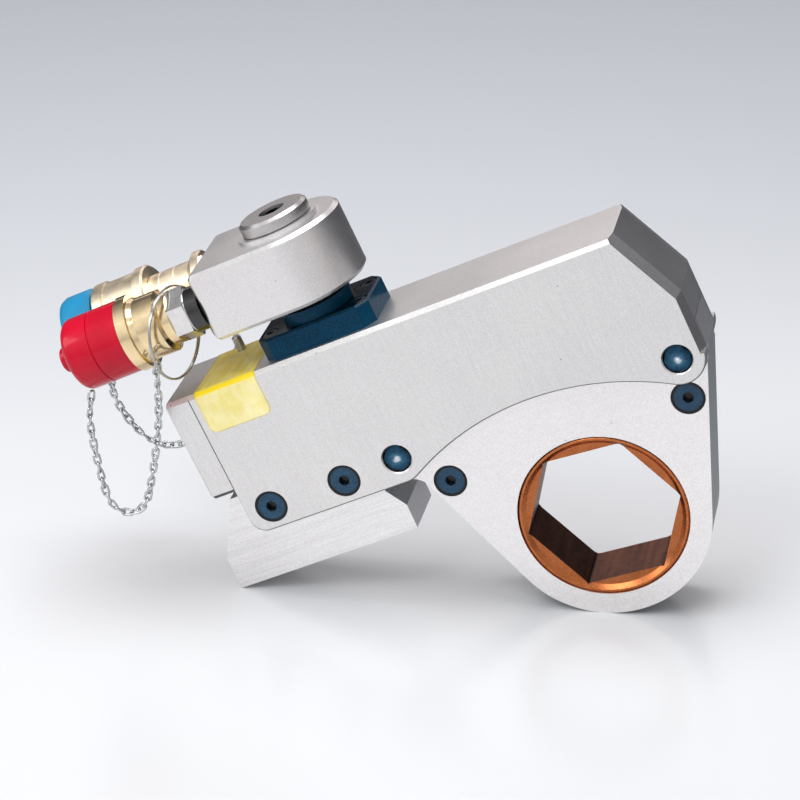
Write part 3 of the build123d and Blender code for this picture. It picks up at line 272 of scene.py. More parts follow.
def split_ring(name, node, s, q, turn):
    """Two turns of wire side by side, round an axis that is turned and leans."""
    level = along * cos(turn) + deep * sin(turn)
    normal = level * cos(ring_lean) - across * sin(ring_lean)
    middle = outlet(s, q) - across * (ring_drop * mm)
    first = deep.cross(normal).normalized()
    second = normal.cross(first)
    points = []
    for k in range(ring_steps + 1):
        share = k / ring_steps
        angle = 2 * pi * ring_turns * share + ring_start
        climb = coil_step * (share * ring_turns - ring_turns / 2)
        climb = max(-coil_step / 2, min(coil_step / 2, climb * coil_steepness))
        points.append(middle + (first * cos(angle) + second * sin(angle)) * (ring_radius * mm)
                      + normal * (climb * mm))
    vertices, faces = tube(points, coil_wire * mm, sides=8)
    ring = add_mesh(name, vertices, faces)
    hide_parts(node)
    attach(ring, "manifold")
    return ring


near_ring = split_ring("split_ring_red", "wire_ring_red", near_ring_s, -coupler_offset, near_ring_turn)
far_ring = split_ring("split_ring_blue", "wire_ring_blue", far_ring_s, coupler_offset, far_ring_turn)


# Red cap: a moulded cup with a grip line, a rounded end and a knob
cap_profile = [
    (68.8, 11.3), (68.8, 14.5), (69.1, 14.8), (81.3, 14.8), (81.5, 14.4), (81.8, 14.4), (82.0, 14.8),
    (91.2, 14.8), (92.2, 14.6), (93.1, 14.1), (93.8, 13.3), (94.2, 12.2), (94.35, 10.8), (94.4, 5.8),
    (94.6, 5.3), (98.9, 5.2), (99.3, 5.1), (99.6, 4.8), (99.75, 4.2), (99.8, 0.0)]
cap_hollow = [(90.4, 0.0), (90.4, 10.9), (90.0, 11.3)]
sharp_from = radians(38)


def revolved(name, profile, q, sides=96):
    """A closed profile of (s, radius) turned round the axis of the coupler on the side q."""
    vertices = []
    rows = []
    for s, radius in profile:
        row = []
        for k in range(sides if radius else 1):
            angle = 2 * pi * k / sides
            turn = (sideways * cos(angle) + across * sin(angle)) * (radius * mm)
            row.append(len(vertices))
            vertices.append(outlet(s, q) + turn)
        rows.append(row)
    faces = []
    for a, b in zip(rows, rows[1:] + rows[:1]):
        for k in range(sides):
            m = (k + 1) % sides
            if len(a) == 1 and len(b) == 1:
                continue
            if len(a) == 1:
                faces.append((a[0], b[m], b[k]))
            elif len(b) == 1:
                faces.append((a[k], a[m], b[0]))
            else:
                faces.append((a[k], a[m], b[m], b[k]))
    piece = add_mesh(name, vertices, faces)
    piece.data.set_sharp_from_angle(angle=sharp_from)
    return piece


cap_piece = revolved("red_dust_cap", cap_profile + cap_hollow, -coupler_offset)
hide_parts("red_cap")
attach(cap_piece, "red_cap_body")

# Yellow tape: a thin creased strip folded over the top front edge
tape_left = -130.4
tape_right = -103.0
tape_middle = (tape_left + tape_right) / 2
tape_low = 89.0
tape_back = 20.0
tape_corner = 3.0
tape_gap = 0.03
tape_columns = 36
front_rows = 22
fold_rows = 4
top_rows = 40
film_thickness = 0.112
least_lift = 0.02
wave_height = 0.28
crease_height = 0.5
flat_border = 3.0
pin_hole = Vector((-118.0, 15.0))
pin_hole_radius = 2.2
body_top = 107.0
body_half = 21.2
edge_chamfer = 1.7


def tape_path():
    """Points (y, v) and outward normals along the tape, from the front's lower edge to the back."""
    front_y = -body_half - tape_gap
    fold_low = body_top - edge_chamfer
    fold_y = -body_half + edge_chamfer
    deck = body_top + tape_gap
    path = []
    for k in range(front_rows + 1):
        path.append((front_y, tape_low + (fold_low - tape_low) * k / front_rows, -1.0, 0.0))
    for k in range(1, fold_rows):
        path.append((front_y + (fold_y - front_y) * k / fold_rows,
                     fold_low + (deck - fold_low) * k / fold_rows, -0.707, 0.707))
    for k in range(top_rows + 1):
        path.append((fold_y + (tape_back - fold_y) * k / top_rows, deck, 0.0, 1.0))
    return path


def corner_inset(rise):
    """How far the rounded lower corners draw in, at a height above the lower edge."""
    if rise >= tape_corner:
        return 0.0
    return tape_corner - (tape_corner ** 2 - (tape_corner - rise) ** 2) ** 0.5


def film_lift(u, y, v):
    """Waves and creases of the film above its seat, flatter towards its sides."""
    wave = max(0.0, noise.noise(Vector((u * 0.11 + y * 0.16, y * 0.05, v * 0.22)))) * wave_height
    crease = noise.noise(Vector((u * 0.55 + y * 0.42, 3.1, v * 0.30))) ** 2 * crease_height
    border = min(u - tape_left, tape_right - u, flat_border) / flat_border
    return (wave + crease) * max(0.0, border) + least_lift


def outside_hole(u, y):
    """The point itself, or the edge of the small pin's hole if the point lies inside it."""
    apart = Vector((u, y)) - pin_hole
    if apart.length >= pin_hole_radius:
        return u, y
    if apart.length > 0.01:
        apart = apart.normalized() * pin_hole_radius
    else:
        apart = Vector((pin_hole_radius, 0))
    return pin_hole.x + apart.x, pin_hole.y + apart.y


def sheet_faces(rows, width):
    """Faces of a closed sheet whose outer points come first and whose inner points follow."""
    count = rows * width
    last = width - 1
    faces = []
    for i in range(rows - 1):
        for k in range(last):
            a = i * width + k
            faces.append((a, a + 1, a + width + 1, a + width))
            faces.append((count + a, count + a + width, count + a + width + 1, count + a + 1))
    border = list(range(last)) + [i * width + last for i in range(rows - 1)]
    border += [(rows - 1) * width + last - k for k in range(last)]
    border += [(rows - 1 - i) * width for i in range(rows - 1)]
    for a, b in zip(border, border[1:] + border[:1]):
        faces.append((b, a, count + a, count + b))
    return faces


def make_tape():
    path = tape_path()
    outer = []
    inner = []
    for y, v, out_y, out_v in path:
        narrowed = 1 - corner_inset(v - tape_low) / (tape_right - tape_middle)
        outwards = Vector((0, out_y, out_v)).normalized()
        for k in range(tape_columns + 1):
            u = tape_left + (tape_right - tape_left) * k / tape_columns
            u = tape_middle + (u - tape_middle) * narrowed
            lift = film_lift(u, y, v)
            seat = outside_hole(u, y) if out_v == 1.0 else (u, y)
            place = Vector((*seat, v))
            top = place + outwards * (lift + film_thickness)
            outer.append(spot(top.x, top.z, top.y))
            inner.append(spot(place.x, place.z, place.y))
    tape = add_mesh("creased_tape", outer + inner, sheet_faces(len(path), tape_columns + 1))
    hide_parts("yellow_tape")
    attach(tape, "housing")
    return tape


tape_piece = make_tape()


# Materials
def add_node(tree, kind, inputs=(), **settings):
    node = tree.nodes.new(kind)
    for name, value in settings.items():
        setattr(node, name, value)
    for name, value in inputs:
        if isinstance(value, bpy.types.NodeSocket):
            tree.links.new(value, node.inputs[name])
        else:
            node.inputs[name].default_value = value
    return node


def new_material(name, colour, metallic, roughness, **sockets):
    """A material with its shader, its node tree and object coordinates."""
    material = bpy.data.materials.new(name)
    material.use_nodes = True
    material.diffuse_color = (*colour, 1)
    tree = material.node_tree
    shader = tree.nodes["Principled BSDF"]
    shader.inputs["Base Color"].default_value = (*colour, 1)
    shader.inputs["Metallic"].default_value = metallic
    shader.inputs["Roughness"].default_value = roughness
    for socket, value in sockets.items():
        shader.inputs[socket.replace("_", " ")].default_value = value
    place = add_node(tree, "ShaderNodeTexCoord").outputs["Object"]
    return material, tree, shader, place


def tool_axes(tree, place, stretch=(1, 1, 1)):
    """The place along the tool, in depth and across it, each stretched."""
    level = add_node(tree, "ShaderNodeMapping", [("Vector", place), ("Rotation", (0, tilt, 0))])
    node = add_node(tree, "ShaderNodeMapping", [("Vector", level.outputs[0]), ("Scale", stretch)])
    return node.outputs[0]


def noise_field(tree, place, scale, detail=3.0):
    """Noise with the given number of cells a metre, from 0 to 1."""
    field = add_node(tree, "ShaderNodeTexNoise", [("Vector", place), ("Scale", scale), ("Detail", detail)])
    return field.outputs["Fac"]


def flattened(tree, place):
    """The place without its depth."""
    node = add_node(tree, "ShaderNodeVectorMath", [(0, place), (1, (1.0, 0.0, 1.0))], operation="MULTIPLY")
    return node.outputs[0]


def length_of(tree, vector):
    return add_node(tree, "ShaderNodeVectorMath", [(0, vector)], operation="LENGTH").outputs["Value"]


def plain_colour(tree, colour):
    """A single colour as a socket."""
    node = add_node(tree, "ShaderNodeRGB")
    node.outputs[0].default_value = (*colour, 1)
    return node.outputs[0]


def dot(tree, place, axis):
    node = add_node(tree, "ShaderNodeVectorMath", [(0, place), (1, tuple(axis))], operation="DOT_PRODUCT")
    return node.outputs["Value"]


def line_field(tree, place, axis, lines):
    """Rings or lines square to an axis, with the given number a metre."""
    field = add_node(tree, "ShaderNodeTexNoise", [("W", dot(tree, place, axis)), ("Scale", lines),
                                                  ("Detail", 2.0)], noise_dimensions="1D")
    return field.outputs["Fac"]


def tone(tree, field, dark, light, low=0.35, high=0.65):
    """Colours between dark and light by the field."""
    ramp = add_node(tree, "ShaderNodeValToRGB", [("Fac", field)])
    ramp.color_ramp.elements[0].position = low
    ramp.color_ramp.elements[0].color = (*dark, 1)
    ramp.color_ramp.elements[1].position = high
    ramp.color_ramp.elements[1].color = (*light, 1)
    return ramp.outputs["Color"]


def ramp_of(tree, field, stops):
    """A colour ramp with the given stops of place and colour."""
    ramp = add_node(tree, "ShaderNodeValToRGB", [("Fac", field)])
    elements = ramp.color_ramp.elements
    elements[0].position = stops[0][0]
    elements[1].position = stops[-1][0]
    elements[0].color = (*stops[0][1], 1)
    elements[1].color = (*stops[-1][1], 1)
    for position, colour in stops[1:-1]:
        elements.new(position).color = (*colour, 1)
    return ramp.outputs["Color"]


def span(tree, field, low, high, start=0.3, stop=0.7):
    """The field's start to stop becomes low to high."""
    reach = add_node(tree, "ShaderNodeMapRange", [("Value", field), ("From Min", start), ("From Max", stop),
                                                  ("To Min", low), ("To Max", high)])
    return reach.outputs["Result"]


def calculate(tree, operation, a, b):
    return add_node(tree, "ShaderNodeMath", [(0, a), (1, b)], operation=operation).outputs[0]


def multiply(tree, a, b):
    mix = add_node(tree, "ShaderNodeMix", [("Factor", 1.0)], data_type="RGBA", blend_type="MULTIPLY")
    tree.links.new(a, mix.inputs["A"])
    tree.links.new(b, mix.inputs["B"])
    return mix.outputs["Result"]


def blend_colours(tree, share, a, b):
    mix = add_node(tree, "ShaderNodeMix", [("Factor", share)], data_type="RGBA")
    tree.links.new(a, mix.inputs["A"])
    tree.links.new(b, mix.inputs["B"])
    return mix.outputs["Result"]


def bump(tree, shader, height, strength, distance, below=None):
    node = add_node(tree, "ShaderNodeBump", [("Height", height), ("Strength", strength),
                                             ("Distance", distance)])
    if below is not None:
        tree.links.new(below, node.inputs["Normal"])
    tree.links.new(node.outputs["Normal"], shader.inputs["Normal"])
    return node.outputs["Normal"]


def scaled(colour, share):
    return tuple(c * share for c in colour)


def blasted_metal(name, colour, roughness, brushing=(1, 1, 0.04), grain=0.5, lines=0.03, underside_shade=1.0,
                  bevel_shade=1.0):
    """Bead-blasted metal with fine pits, faint brushing, soft patches and specks.

    Painted shade darkens what faces down and what slants between the front and the top, each by its own
    setting."""
    material, tree, shader, place = new_material(name, colour, 1.0, roughness)
    pits = noise_field(tree, place, 1900, 4)
    streaks = noise_field(tree, tool_axes(tree, place, brushing), 1500, 3)
    normal = add_node(tree, "ShaderNodeTexCoord").outputs["Normal"]
    patches = noise_field(tree, place, 22, 3)
    colours = multiply(tree, tone(tree, pits, scaled(colour, 0.90), scaled(colour, 1.04)),
                       tone(tree, patches, (0.955, 0.955, 0.96), (1, 1, 1)))
    colours = multiply(tree, colours, tone(tree, streaks, (1 - lines, 1 - lines, 1 - lines), (1, 1, 1)))
    specks = add_node(tree, "ShaderNodeTexVoronoi", [("Vector", place), ("Scale", 95), ("Randomness", 1.0)])
    colours = multiply(tree, colours, span(tree, specks.outputs["Distance"], 0.45, 1.0, 0.022, 0.036))
    if underside_shade < 1.0:
        # Painted shade: darker and bluer where the surface faces down, along the lower edges and under them.
        facing = span(tree, dot(tree, normal, across), 0.0, 1.0, -0.32, -0.03)
        colours = multiply(tree, colours, ramp_of(tree, facing, [
            (0.0, (underside_shade, underside_shade * 1.12, underside_shade * 1.15)), (1.0, (1, 1, 1))]))
    if bevel_shade < 1.0:
        # Painted shade on the chamfers that slant between the front and the top.
        forward = calculate(tree, "MULTIPLY", dot(tree, normal, deep), -1.0)
        slant = calculate(tree, "MULTIPLY", dot(tree, normal, across), forward)
        colours = multiply(tree, colours, span(tree, slant, 1.0, bevel_shade, 0.30, 0.44))
    tree.links.new(colours, shader.inputs["Base Color"])
    rough = calculate(tree, "ADD", span(tree, pits, -0.05, 0.05),
                      span(tree, patches, roughness - 0.03, roughness + 0.03))
    tree.links.new(rough, shader.inputs["Roughness"])
    lined = bump(tree, shader, streaks, 0.05, 0.02 * mm)
    bump(tree, shader, pits, grain, 0.03 * mm, lined)
    return material


def turned_metal(name, colour, roughness, axis, lines=2400, depth=0.25, cloud=0.06):
    """Metal turned on a lathe: fine rings round the axis and faint stains."""
    material, tree, shader, place = new_material(name, colour, 1.0, roughness)
    rings = line_field(tree, place, axis, lines)
    stains = noise_field(tree, place, 160, 4)
    fine = noise_field(tree, place, 1900, 2)
    colours = multiply(tree, tone(tree, stains, scaled(colour, 1 - cloud * 2), scaled(colour, 1.03)),
                       tone(tree, rings, (0.93, 0.93, 0.93), (1, 1, 1)))
    tree.links.new(colours, shader.inputs["Base Color"])
    rough = calculate(tree, "ADD", span(tree, stains, roughness * 0.8, roughness * 1.3),
                      span(tree, fine, -0.03, 0.03))
    tree.links.new(rough, shader.inputs["Roughness"])
    bump(tree, shader, rings, depth, 0.01 * mm)
    return material


def nut_chrome(name, colour, roughness, hex_from):
    """Bright hexagon with a dark collar on the side of the block."""
    material, tree, shader, place = new_material(name, colour, 1.0, roughness)
    start = arm.dot(outlet(hex_from))
    collar = span(tree, dot(tree, place, arm), 1.0, 0.10, start + 0.1 * mm, start + 0.5 * mm)
    lines = line_field(tree, place, arm, 2600)
    stains = noise_field(tree, place, 210, 4)
    colours = multiply(tree, tone(tree, stains, scaled(colour, 0.88), scaled(colour, 1.03)),
                       tone(tree, lines, (0.9, 0.9, 0.9), (1, 1, 1)))
    tree.links.new(multiply(tree, colours, collar), shader.inputs["Base Color"])
    tree.links.new(span(tree, stains, roughness * 0.8, roughness * 1.4), shader.inputs["Roughness"])
    bump(tree, shader, lines, 0.1, 0.01 * mm)
    return material


def moulded_plastic(name, colour, roughness, axis, depth=0.2):
    """Glossy plastic with turned rings, fine scratches and a little dust."""
    material, tree, shader, place = new_material(name, colour, 0.0, roughness, Specular_IOR_Level=0.28)
    rings = line_field(tree, place, axis, 1500)
    soft = noise_field(tree, place, 70, 3)
    dust = noise_field(tree, place, 900, 3)
    tree.links.new(tone(tree, soft, scaled(colour, 0.88), scaled(colour, 1.04)), shader.inputs["Base Color"])
    tree.links.new(span(tree, dust, roughness - 0.07, roughness + 0.09), shader.inputs["Roughness"])
    waves = bump(tree, shader, soft, 0.25, 0.15 * mm)
    bump(tree, shader, rings, depth, 0.012 * mm, waves)
    return material


def blackened_metal(name, colour, roughness, metallic=0.7, grain_scale=1400, gloss=0.25, top=1.0):
    """Blackened or blued steel with a faint oily sheen; the top setting darkens what faces up as painted
    shade.
    """
    material, tree, shader, place = new_material(name, colour, metallic, roughness, Specular_IOR_Level=gloss)
    grain = noise_field(tree, place, grain_scale, 3)
    film = noise_field(tree, place, 120, 3)
    colours = multiply(tree, tone(tree, grain, scaled(colour, 0.7), scaled(colour, 1.25)),
                       tone(tree, film, (0.8, 0.85, 0.9), (1.1, 1.1, 1.1)))
    if top < 1.0:
        # Painted shade: what faces up is darker.
        normal = add_node(tree, "ShaderNodeTexCoord").outputs["Normal"]
        colours = multiply(tree, colours, span(tree, dot(tree, normal, across), 1.0, top, 0.5, 0.9))
    tree.links.new(colours, shader.inputs["Base Color"])
    tree.links.new(span(tree, film, roughness - 0.06, roughness + 0.08), shader.inputs["Roughness"])
    bump(tree, shader, grain, 0.3, 0.02 * mm)
    return material


def from_axes(tree, place, axes):
    """The distance from the nearest of some axes along the depth, given as (u, v)."""
    flat = flattened(tree, place)
    nearest = None
    for u, v in axes:
        apart = add_node(tree, "ShaderNodeVectorMath", [(0, flat), (1, tuple(spot(u, v)))],
                         operation="DISTANCE").outputs["Value"]
        nearest = apart if nearest is None else calculate(tree, "MINIMUM", nearest, apart)
    return nearest


def turning_marks(tree, reach):
    """Fine rings by the distance from an axis."""
    waves = calculate(tree, "MULTIPLY", reach, turning_phase)
    return add_node(tree, "ShaderNodeMath", [(0, waves)], operation="SINE").outputs[0]


def screw_steel(name, colour, metallic, roughness, axes, head, socket_radius, ring_strength):
    """Glossy blue-black steel with turned rings; painted shade makes a black rim round the head and a black
    socket.
    """
    material, tree, shader, place = new_material(name, colour, metallic, roughness, Specular_IOR_Level=0.35)
    reach = from_axes(tree, place, axes)
    grain = noise_field(tree, place, 1300, 3)
    film = noise_field(tree, place, 240, 3)
    # Painted shade: the rim round the head and the socket are painted black.
    rim = span(tree, reach, 1.0, 0.03, (head - 0.75) * mm, (head - 0.5) * mm)
    socket = span(tree, reach, 0.02, 1.0, (socket_radius - 0.35) * mm, socket_radius * mm)
    colours = multiply(tree, tone(tree, grain, scaled(colour, 0.75), scaled(colour, 1.3)),
                       tone(tree, film, (0.75, 0.8, 0.85), (1.1, 1.1, 1.1)))
    colours = multiply(tree, colours, calculate(tree, "MULTIPLY", rim, socket))
    tree.links.new(colours, shader.inputs["Base Color"])
    tree.links.new(span(tree, film, roughness - 0.05, roughness + 0.08), shader.inputs["Roughness"])
    turned_rings = bump(tree, shader, turning_marks(tree, reach), ring_strength, 0.02 * mm)
    bump(tree, shader, grain, 0.2, 0.015 * mm, turned_rings)
    return material


def pin_steel(name):
    """Blued pin ends: a painted highlight at the turned centre, blue round it, and painted shade, black, at
    the rim.
    """
    material, tree, shader, place = new_material(name, (0.03, 0.10, 0.17), 0.9, 0.25)
    reach = from_axes(tree, place, pin_places)
    grain = noise_field(tree, place, 1100, 3)
    film = noise_field(tree, place, 300, 3)
    # Painted highlight near white at the turned centre, and painted shade, black, at the rim.
    glint_reach = calculate(tree, "ADD", reach, span(tree, film, -0.7 * mm, 0.7 * mm))
    colours = ramp_of(tree, span(tree, glint_reach, 0.0, 1.0, 0.0, 6.0 * mm), [
        (0.0, (0.90, 0.92, 0.94)), (0.12, (0.62, 0.68, 0.74)), (0.30, (0.07, 0.17, 0.27)),
        (0.55, (0.022, 0.082, 0.145)), (0.85, (0.012, 0.045, 0.085)), (0.93, (0.0, 0.0, 0.0))])
    colours = multiply(tree, colours, tone(tree, grain, (0.75, 0.75, 0.75), (1.1, 1.1, 1.1)))
    tree.links.new(colours, shader.inputs["Base Color"])
    tree.links.new(span(tree, grain, 0.18, 0.34), shader.inputs["Roughness"])
    bump(tree, shader, turning_marks(tree, reach), 0.4, 0.02 * mm)
    return material


def rubber(name, colour):
    material, tree, shader, place = new_material(name, colour, 0.0, 0.6)
    grain = noise_field(tree, place, 800, 3)
    tree.links.new(tone(tree, grain, scaled(colour, 0.7), scaled(colour, 1.3)), shader.inputs["Base Color"])
    tree.links.new(span(tree, grain, 0.5, 0.72), shader.inputs["Roughness"])
    bump(tree, shader, grain, 0.3, 0.03 * mm)
    return material


def worn_copper(name):
    """The wheel's finish: a bright rim, and a hexagon with tool marks painted darker and browner as shade
    inside it; farther than about 31.7 mm from the axis, the surfaces between the wheel's faces are painted
    near black as shade.
    """
    rim = (0.52, 0.17, 0.06)
    # Colour of the hex walls, darker and browner as painted shade inside the hexagon.
    wall = (0.17, 0.060, 0.032)
    material, tree, shader, place = new_material(name, rim, 1.0, 0.3)
    reach = length_of(tree, flattened(tree, place))
    depth = calculate(tree, "ABSOLUTE", dot(tree, place, deep), 0.0)
    face = span(tree, depth, 0.0, 1.0, 12.6 * mm, 13.2 * mm)
    stretched = add_node(tree, "ShaderNodeMapping", [("Vector", place), ("Scale", (1, 0.08, 1))])
    marks = noise_field(tree, stretched.outputs[0], 420, 4)
    grain = noise_field(tree, place, 2200, 3)
    rust = noise_field(tree, place, 260, 4)
    rim_tone = multiply(tree, tone(tree, grain, scaled(rim, 0.84), scaled(rim, 1.08)),
                        tone(tree, rust, (0.86, 0.80, 0.74), (1, 1, 1)))
    wall_tone = multiply(tree, tone(tree, marks, scaled(wall, 0.55), scaled(wall, 1.25), 0.3, 0.7),
                         tone(tree, rust, (0.7, 0.7, 0.7), (1, 1, 1)))
    colours = blend_colours(tree, face, wall_tone, rim_tone)
    # Painted shade: surfaces between the faces farther out than about 31.7 mm go near black.
    groove = span(tree, reach, 1.0, 0.12, 31.05 * mm, 31.7 * mm)
    inside = calculate(tree, "MAXIMUM", groove, face)
    colours = multiply(tree, colours, inside)
    tree.links.new(colours, shader.inputs["Base Color"])
    tree.links.new(calculate(tree, "ADD", span(tree, grain, -0.04, 0.06),
                             span(tree, face, 0.38, 0.26, 0.0, 1.0)), shader.inputs["Roughness"])
    lines = bump(tree, shader, marks, 0.25, 0.03 * mm)
    bump(tree, shader, grain, 0.35, 0.02 * mm, lines)
    return material


def tape_film(name):
    """Yellow film: deep yellow on the top, paler and milky on the front, with creases."""
    deep_yellow = (0.98, 0.72, 0.03)
    bright = (0.98, 0.74, 0.0)
    pale = (0.92, 0.82, 0.36)
    material, tree, shader, place = new_material(name, bright, 0.0, 0.34, Coat_Weight=0.2,
                                                 Coat_Roughness=0.2)
    y = dot(tree, place, deep)
    slanting = add_node(tree, "ShaderNodeMapping", [
        ("Vector", tool_axes(tree, place)), ("Rotation", (0, 0, radians(35))), ("Scale", (1, 0.18, 0.5))])
    streaks = noise_field(tree, slanting.outputs[0], 330, 4)
    cloud = noise_field(tree, place, 90, 3)
    top = tone(tree, streaks, scaled(deep_yellow, 0.95), (1.0, 0.92, 0.30), 0.30, 0.72)
    front = multiply(tree, tone(tree, cloud, scaled(pale, 0.93), (0.97, 0.90, 0.52), 0.3, 0.7),
                     tone(tree, streaks, (0.96, 0.93, 0.62), (1, 1, 1)))
    over = blend_colours(tree, span(tree, y, 0.0, 1.0, -19.6 * mm, -19.2 * mm), front, top)
    fold = calculate(tree, "MULTIPLY", span(tree, y, 0.0, 1.0, -21.3 * mm, -21.1 * mm),
                     span(tree, y, 1.0, 0.0, -19.7 * mm, -19.3 * mm))
    colours = blend_colours(tree, fold, over, plain_colour(tree, bright))
    tree.links.new(colours, shader.inputs["Base Color"])
    tree.links.new(span(tree, cloud, 0.28, 0.42), shader.inputs["Roughness"])
    bump(tree, shader, streaks, 0.35, 0.15 * mm)
    return material


foot_screw_places = ((-122.2, 52.1), (-89.1, 52.1))
link_screw_places = ((51.0, 35.0), (-51.0, 35.0))
pin_places = ((55.0, 53.2), (-65.0, 53.2))
screw_head = 6.2
screw_socket = 2.35
screw_blue = (0.008, 0.050, 0.100)
near_hex = 41.2
far_hex = 37.0
turning_phase = 9000.0
finish = {
    "body": blasted_metal("body_alloy", (0.79, 0.785, 0.785), 0.36, lines=0.05, underside_shade=0.16, bevel_shade=0.78),
    "block": blasted_metal("block_alloy", (0.82, 0.81, 0.81), 0.34, lines=0.02, bevel_shade=0.68),
    "disc": blasted_metal("disc_steel", (0.55, 0.54, 0.54), 0.32, lines=0.02, bevel_shade=0.85),
    "link": blasted_metal("link_steel", (0.93, 0.92, 0.925), 0.38, (1, 1, 1), underside_shade=0.3),
    "foot": blasted_metal("foot_steel", (0.93, 0.925, 0.93), 0.36, (0.03, 1, 1), lines=0.10),
    "foot_screw": screw_steel("foot_screw_blue", screw_blue, 0.0, 0.24, foot_screw_places, screw_head,
                              screw_socket, 0.1),
    "link_screw": screw_steel("link_screw_blue", screw_blue, 0.0, 0.24, link_screw_places, screw_head,
                              screw_socket, 0.1),
    "pin": pin_steel("pin_blue"),
    "flange": blackened_metal("flange_black", (0.0, 0.036, 0.076), 0.18, 0.0, 1800, 0.10, 0.12),
    "black": blackened_metal("black_steel", (0.004, 0.006, 0.009), 0.14, 0.1),
    "copper": worn_copper("copper_finish"),
    "steel": turned_metal("inner_steel", (0.52, 0.52, 0.53), 0.32, across),
    "chrome": turned_metal("chrome_plate", (0.86, 0.86, 0.87), 0.07, arm, depth=0.05, cloud=0.02),
    "near_nut": nut_chrome("near_nut_chrome", (0.80, 0.79, 0.79), 0.14, near_hex),
    "far_nut": nut_chrome("far_nut_chrome", (0.80, 0.79, 0.79), 0.14, far_hex),
    "brass": turned_metal("brass_bright", (0.89, 0.71, 0.43), 0.15, arm),
    "brass_pale": turned_metal("brass_pale", (0.97, 0.84, 0.63), 0.36, arm, depth=0.12, cloud=0.05),
    "wire": turned_metal("wire_steel", (0.46, 0.46, 0.45), 0.12, (0, 0, 1), depth=0.05),
    "chain": turned_metal("chain_steel", (0.56, 0.59, 0.60), 0.16, (0, 0, 1), depth=0.1),
    "rubber": rubber("seal_rubber", (0.02, 0.02, 0.02)),
    "red": moulded_plastic("red_plastic", (0.51, 0.0, 0.019), 0.13, arm),
    "blue": moulded_plastic("blue_plastic", (0.012, 0.225, 0.43), 0.34, arm),
    "tape": tape_film("yellow_film"),
}
node_finish = {
    "drive_housing": "body", "end_cap": "body", "manifold_block": "block", "retaining_disc": "disc",
    "thrust_washer": "block", "reaction_foot": "foot", "link_plate_front": "link", "link_plate_back": "link",
    "link_core": "link", "foot_screws": "foot_screw", "link_screws": "link_screw", "link_pins": "pin",
    "swivel_flange": "flange", "flange_screws": "black", "disc_screw": "black", "end_cap_screws": "black",
    "swivel_post": "black", "ratchet": "copper", "advance_adapter": "near_nut", "retract_adapter": "far_nut",
    "piston_rod": "chrome", "male_coupler": "brass", "female_coupler": "brass_pale",
    "coupler_sleeve": "brass_pale", "red_cap": "red", "blue_cap": "blue", "end_cap_seal": "rubber",
    "gland_seals": "rubber", "piston_seals": "rubber", "post_seals": "rubber"}


def paint(piece, material):
    piece.data.materials.clear()
    piece.data.materials.append(material)


for name, node in frame["nodes"].items():
    paint(node, finish[node_finish.get(name, "steel")])
for piece, material in ((red_chain, "chain"), (blue_chain, "chain"), (near_ring, "wire"), (far_ring, "wire"),
                        (tape_piece, "tape"), (cap_piece, "red")):
    paint(piece, finish[material])


# Floor, lights and world
def add_floor():
    """A pale floor with painted light: to the eye it is painted darker away from the middle, and in
    reflections it is painted darker towards the back.
    """
    low = cad_box[0][2]
    reach = 8.0
    corners = [(-reach, -reach, low), (reach, -reach, low), (reach, reach, low), (-reach, reach, low)]
    floor = add_mesh("floor", corners, [(0, 1, 2, 3)], smooth=False)
    material, tree, shader, place = new_material("floor_white", (0.9, 0.91, 0.93), 0.0, 0.24)
    centred = add_node(tree, "ShaderNodeVectorMath", [(0, place), (1, (0.08, 0.30, 0.0))], operation="ADD")
    level = add_node(tree, "ShaderNodeVectorMath", [(0, centred.outputs[0]), (1, (1, 1, 0))],
                     operation="MULTIPLY")
    # Painted light: to the eye the floor is lighter near the tool and darker farther away.
    painted_floor_falloff = ramp_of(tree, span(tree, length_of(tree, level.outputs[0]), 0.0, 1.0, 0.0, 2.0),
                   [(0.0, (0.66, 0.675, 0.69)), (0.16, (0.65, 0.667, 0.69)), (0.45, (0.58, 0.605, 0.65)),
                    (1.0, (0.50, 0.53, 0.59))])
    y = dot(tree, place, deep)
    # Painted reflection: in reflections the floor darkens towards the back, as a dark room would.
    painted_reflection_shade = ramp_of(tree, span(tree, y, 0.0, 1.0, 0.0, 0.8),
                       [(0.0, (0.68, 0.68, 0.69)), (0.3, (0.30, 0.31, 0.33)), (1.0, (0.06, 0.07, 0.08))])
    eye = add_node(tree, "ShaderNodeLightPath").outputs["Is Camera Ray"]
    tree.links.new(blend_colours(tree, eye, painted_reflection_shade, painted_floor_falloff), shader.inputs["Base Color"])
    floor.data.materials.append(material)


def add_lamp(name, place, target, size, watts, colour=(1, 1, 1), mirror_only=False):
    data = bpy.data.lights.new(name, "AREA")
    data.shape = "RECTANGLE"
    data.size, data.size_y = size
    data.energy = watts
    data.color = colour
    lamp = bpy.data.objects.new(name, data)
    lamp.location = place
    lamp.rotation_mode = "QUATERNION"
    lamp.rotation_quaternion = (Vector(target) - Vector(place)).to_track_quat("-Z", "Y")
    lamp.visible_camera = False
    lamp.visible_diffuse = not mirror_only
    bpy.context.scene.collection.objects.link(lamp)


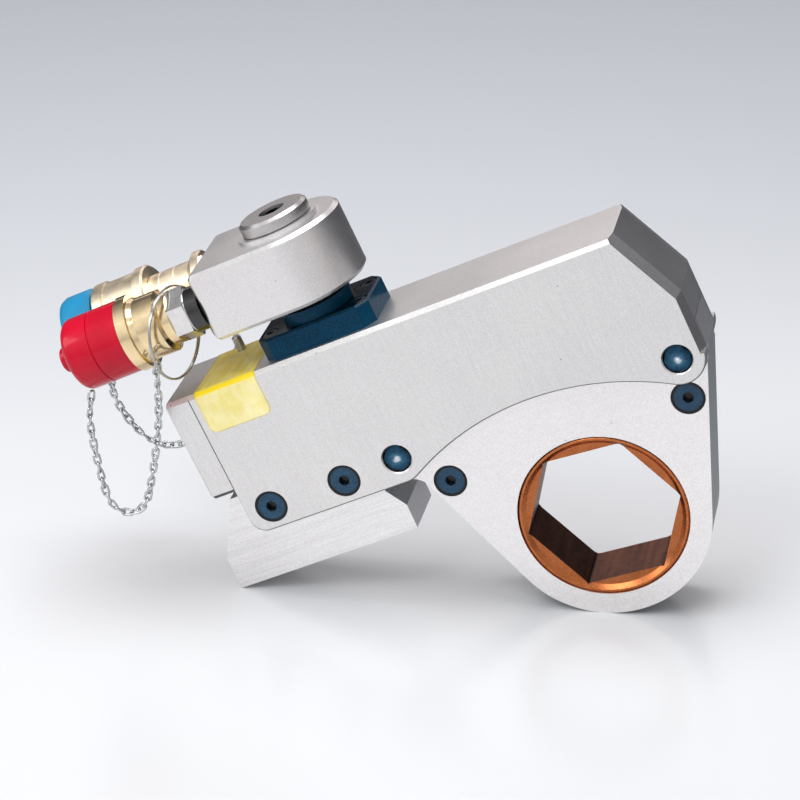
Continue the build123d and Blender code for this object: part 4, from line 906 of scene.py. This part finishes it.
def add_world():
    """A studio: bright in front, a dark gap, a warm panel at the right and dark behind."""
    world = bpy.data.worlds.new("studio")
    world.use_nodes = True
    tree = world.node_tree
    direction = add_node(tree, "ShaderNodeTexCoord").outputs["Generated"]
    split = add_node(tree, "ShaderNodeSeparateXYZ", [("Vector", direction)])
    ahead = calculate(tree, "MULTIPLY", split.outputs["Y"], -1.0)
    angle = calculate(tree, "ARCTAN2", split.outputs["X"], ahead)
    turn = span(tree, angle, 0.0, 1.0, -pi, pi)
    white = (0.98, 0.98, 1.0)
    round_about = ramp_of(tree, turn, [
        (0.0, (0.10, 0.10, 0.11)), (0.20, (0.16, 0.16, 0.17)), (0.30, white), (0.52, white),
        (0.60, (0.86, 0.84, 0.84)), (0.67, (0.74, 0.70, 0.70)), (0.74, (0.24, 0.23, 0.23)),
        (0.78, (0.09, 0.09, 0.10)), (1.0, (0.08, 0.08, 0.09))])
    height = span(tree, split.outputs["Z"], 0.0, 1.0, 0.45, 0.95)
    overhead = plain_colour(tree, (0.72, 0.70, 0.70))
    rise = ramp_of(tree, span(tree, split.outputs["Z"], 0.0, 1.0, -0.1, 0.35),
                   [(0.0, (0.62, 0.62, 0.64)), (1.0, (1.06, 1.06, 1.05))])
    studio = blend_colours(tree, height, multiply(tree, round_about, rise), overhead)
    backdrop = plain_colour(tree, (0.47, 0.50, 0.56))
    eye = add_node(tree, "ShaderNodeLightPath").outputs["Is Camera Ray"]
    background = tree.nodes["Background"]
    tree.links.new(blend_colours(tree, eye, studio, backdrop), background.inputs["Color"])
    background.inputs["Strength"].default_value = 1.0
    bpy.context.scene.world = world


add_floor()
add_lamp("key", (-0.7, -1.0, 1.4), (-0.08, 0, 0.03), (1.0, 0.7), 10.2)
add_lamp("top", (-0.15, 0.1, 1.6), (-0.08, 0, 0.03), (1.0, 0.8), 16)
add_lamp("left", (-1.3, -0.35, 0.55), (-0.12, 0, 0.06), (0.6, 0.5), 2.5)
add_lamp("back_card", (-0.28, 0.75, 0.47), (-0.06, 0, 0.10), (0.8, 0.5), 1.25, (1.0, 0.92, 0.90), True)
add_world()
bpy.context.scene.view_settings.view_transform = "Standard"
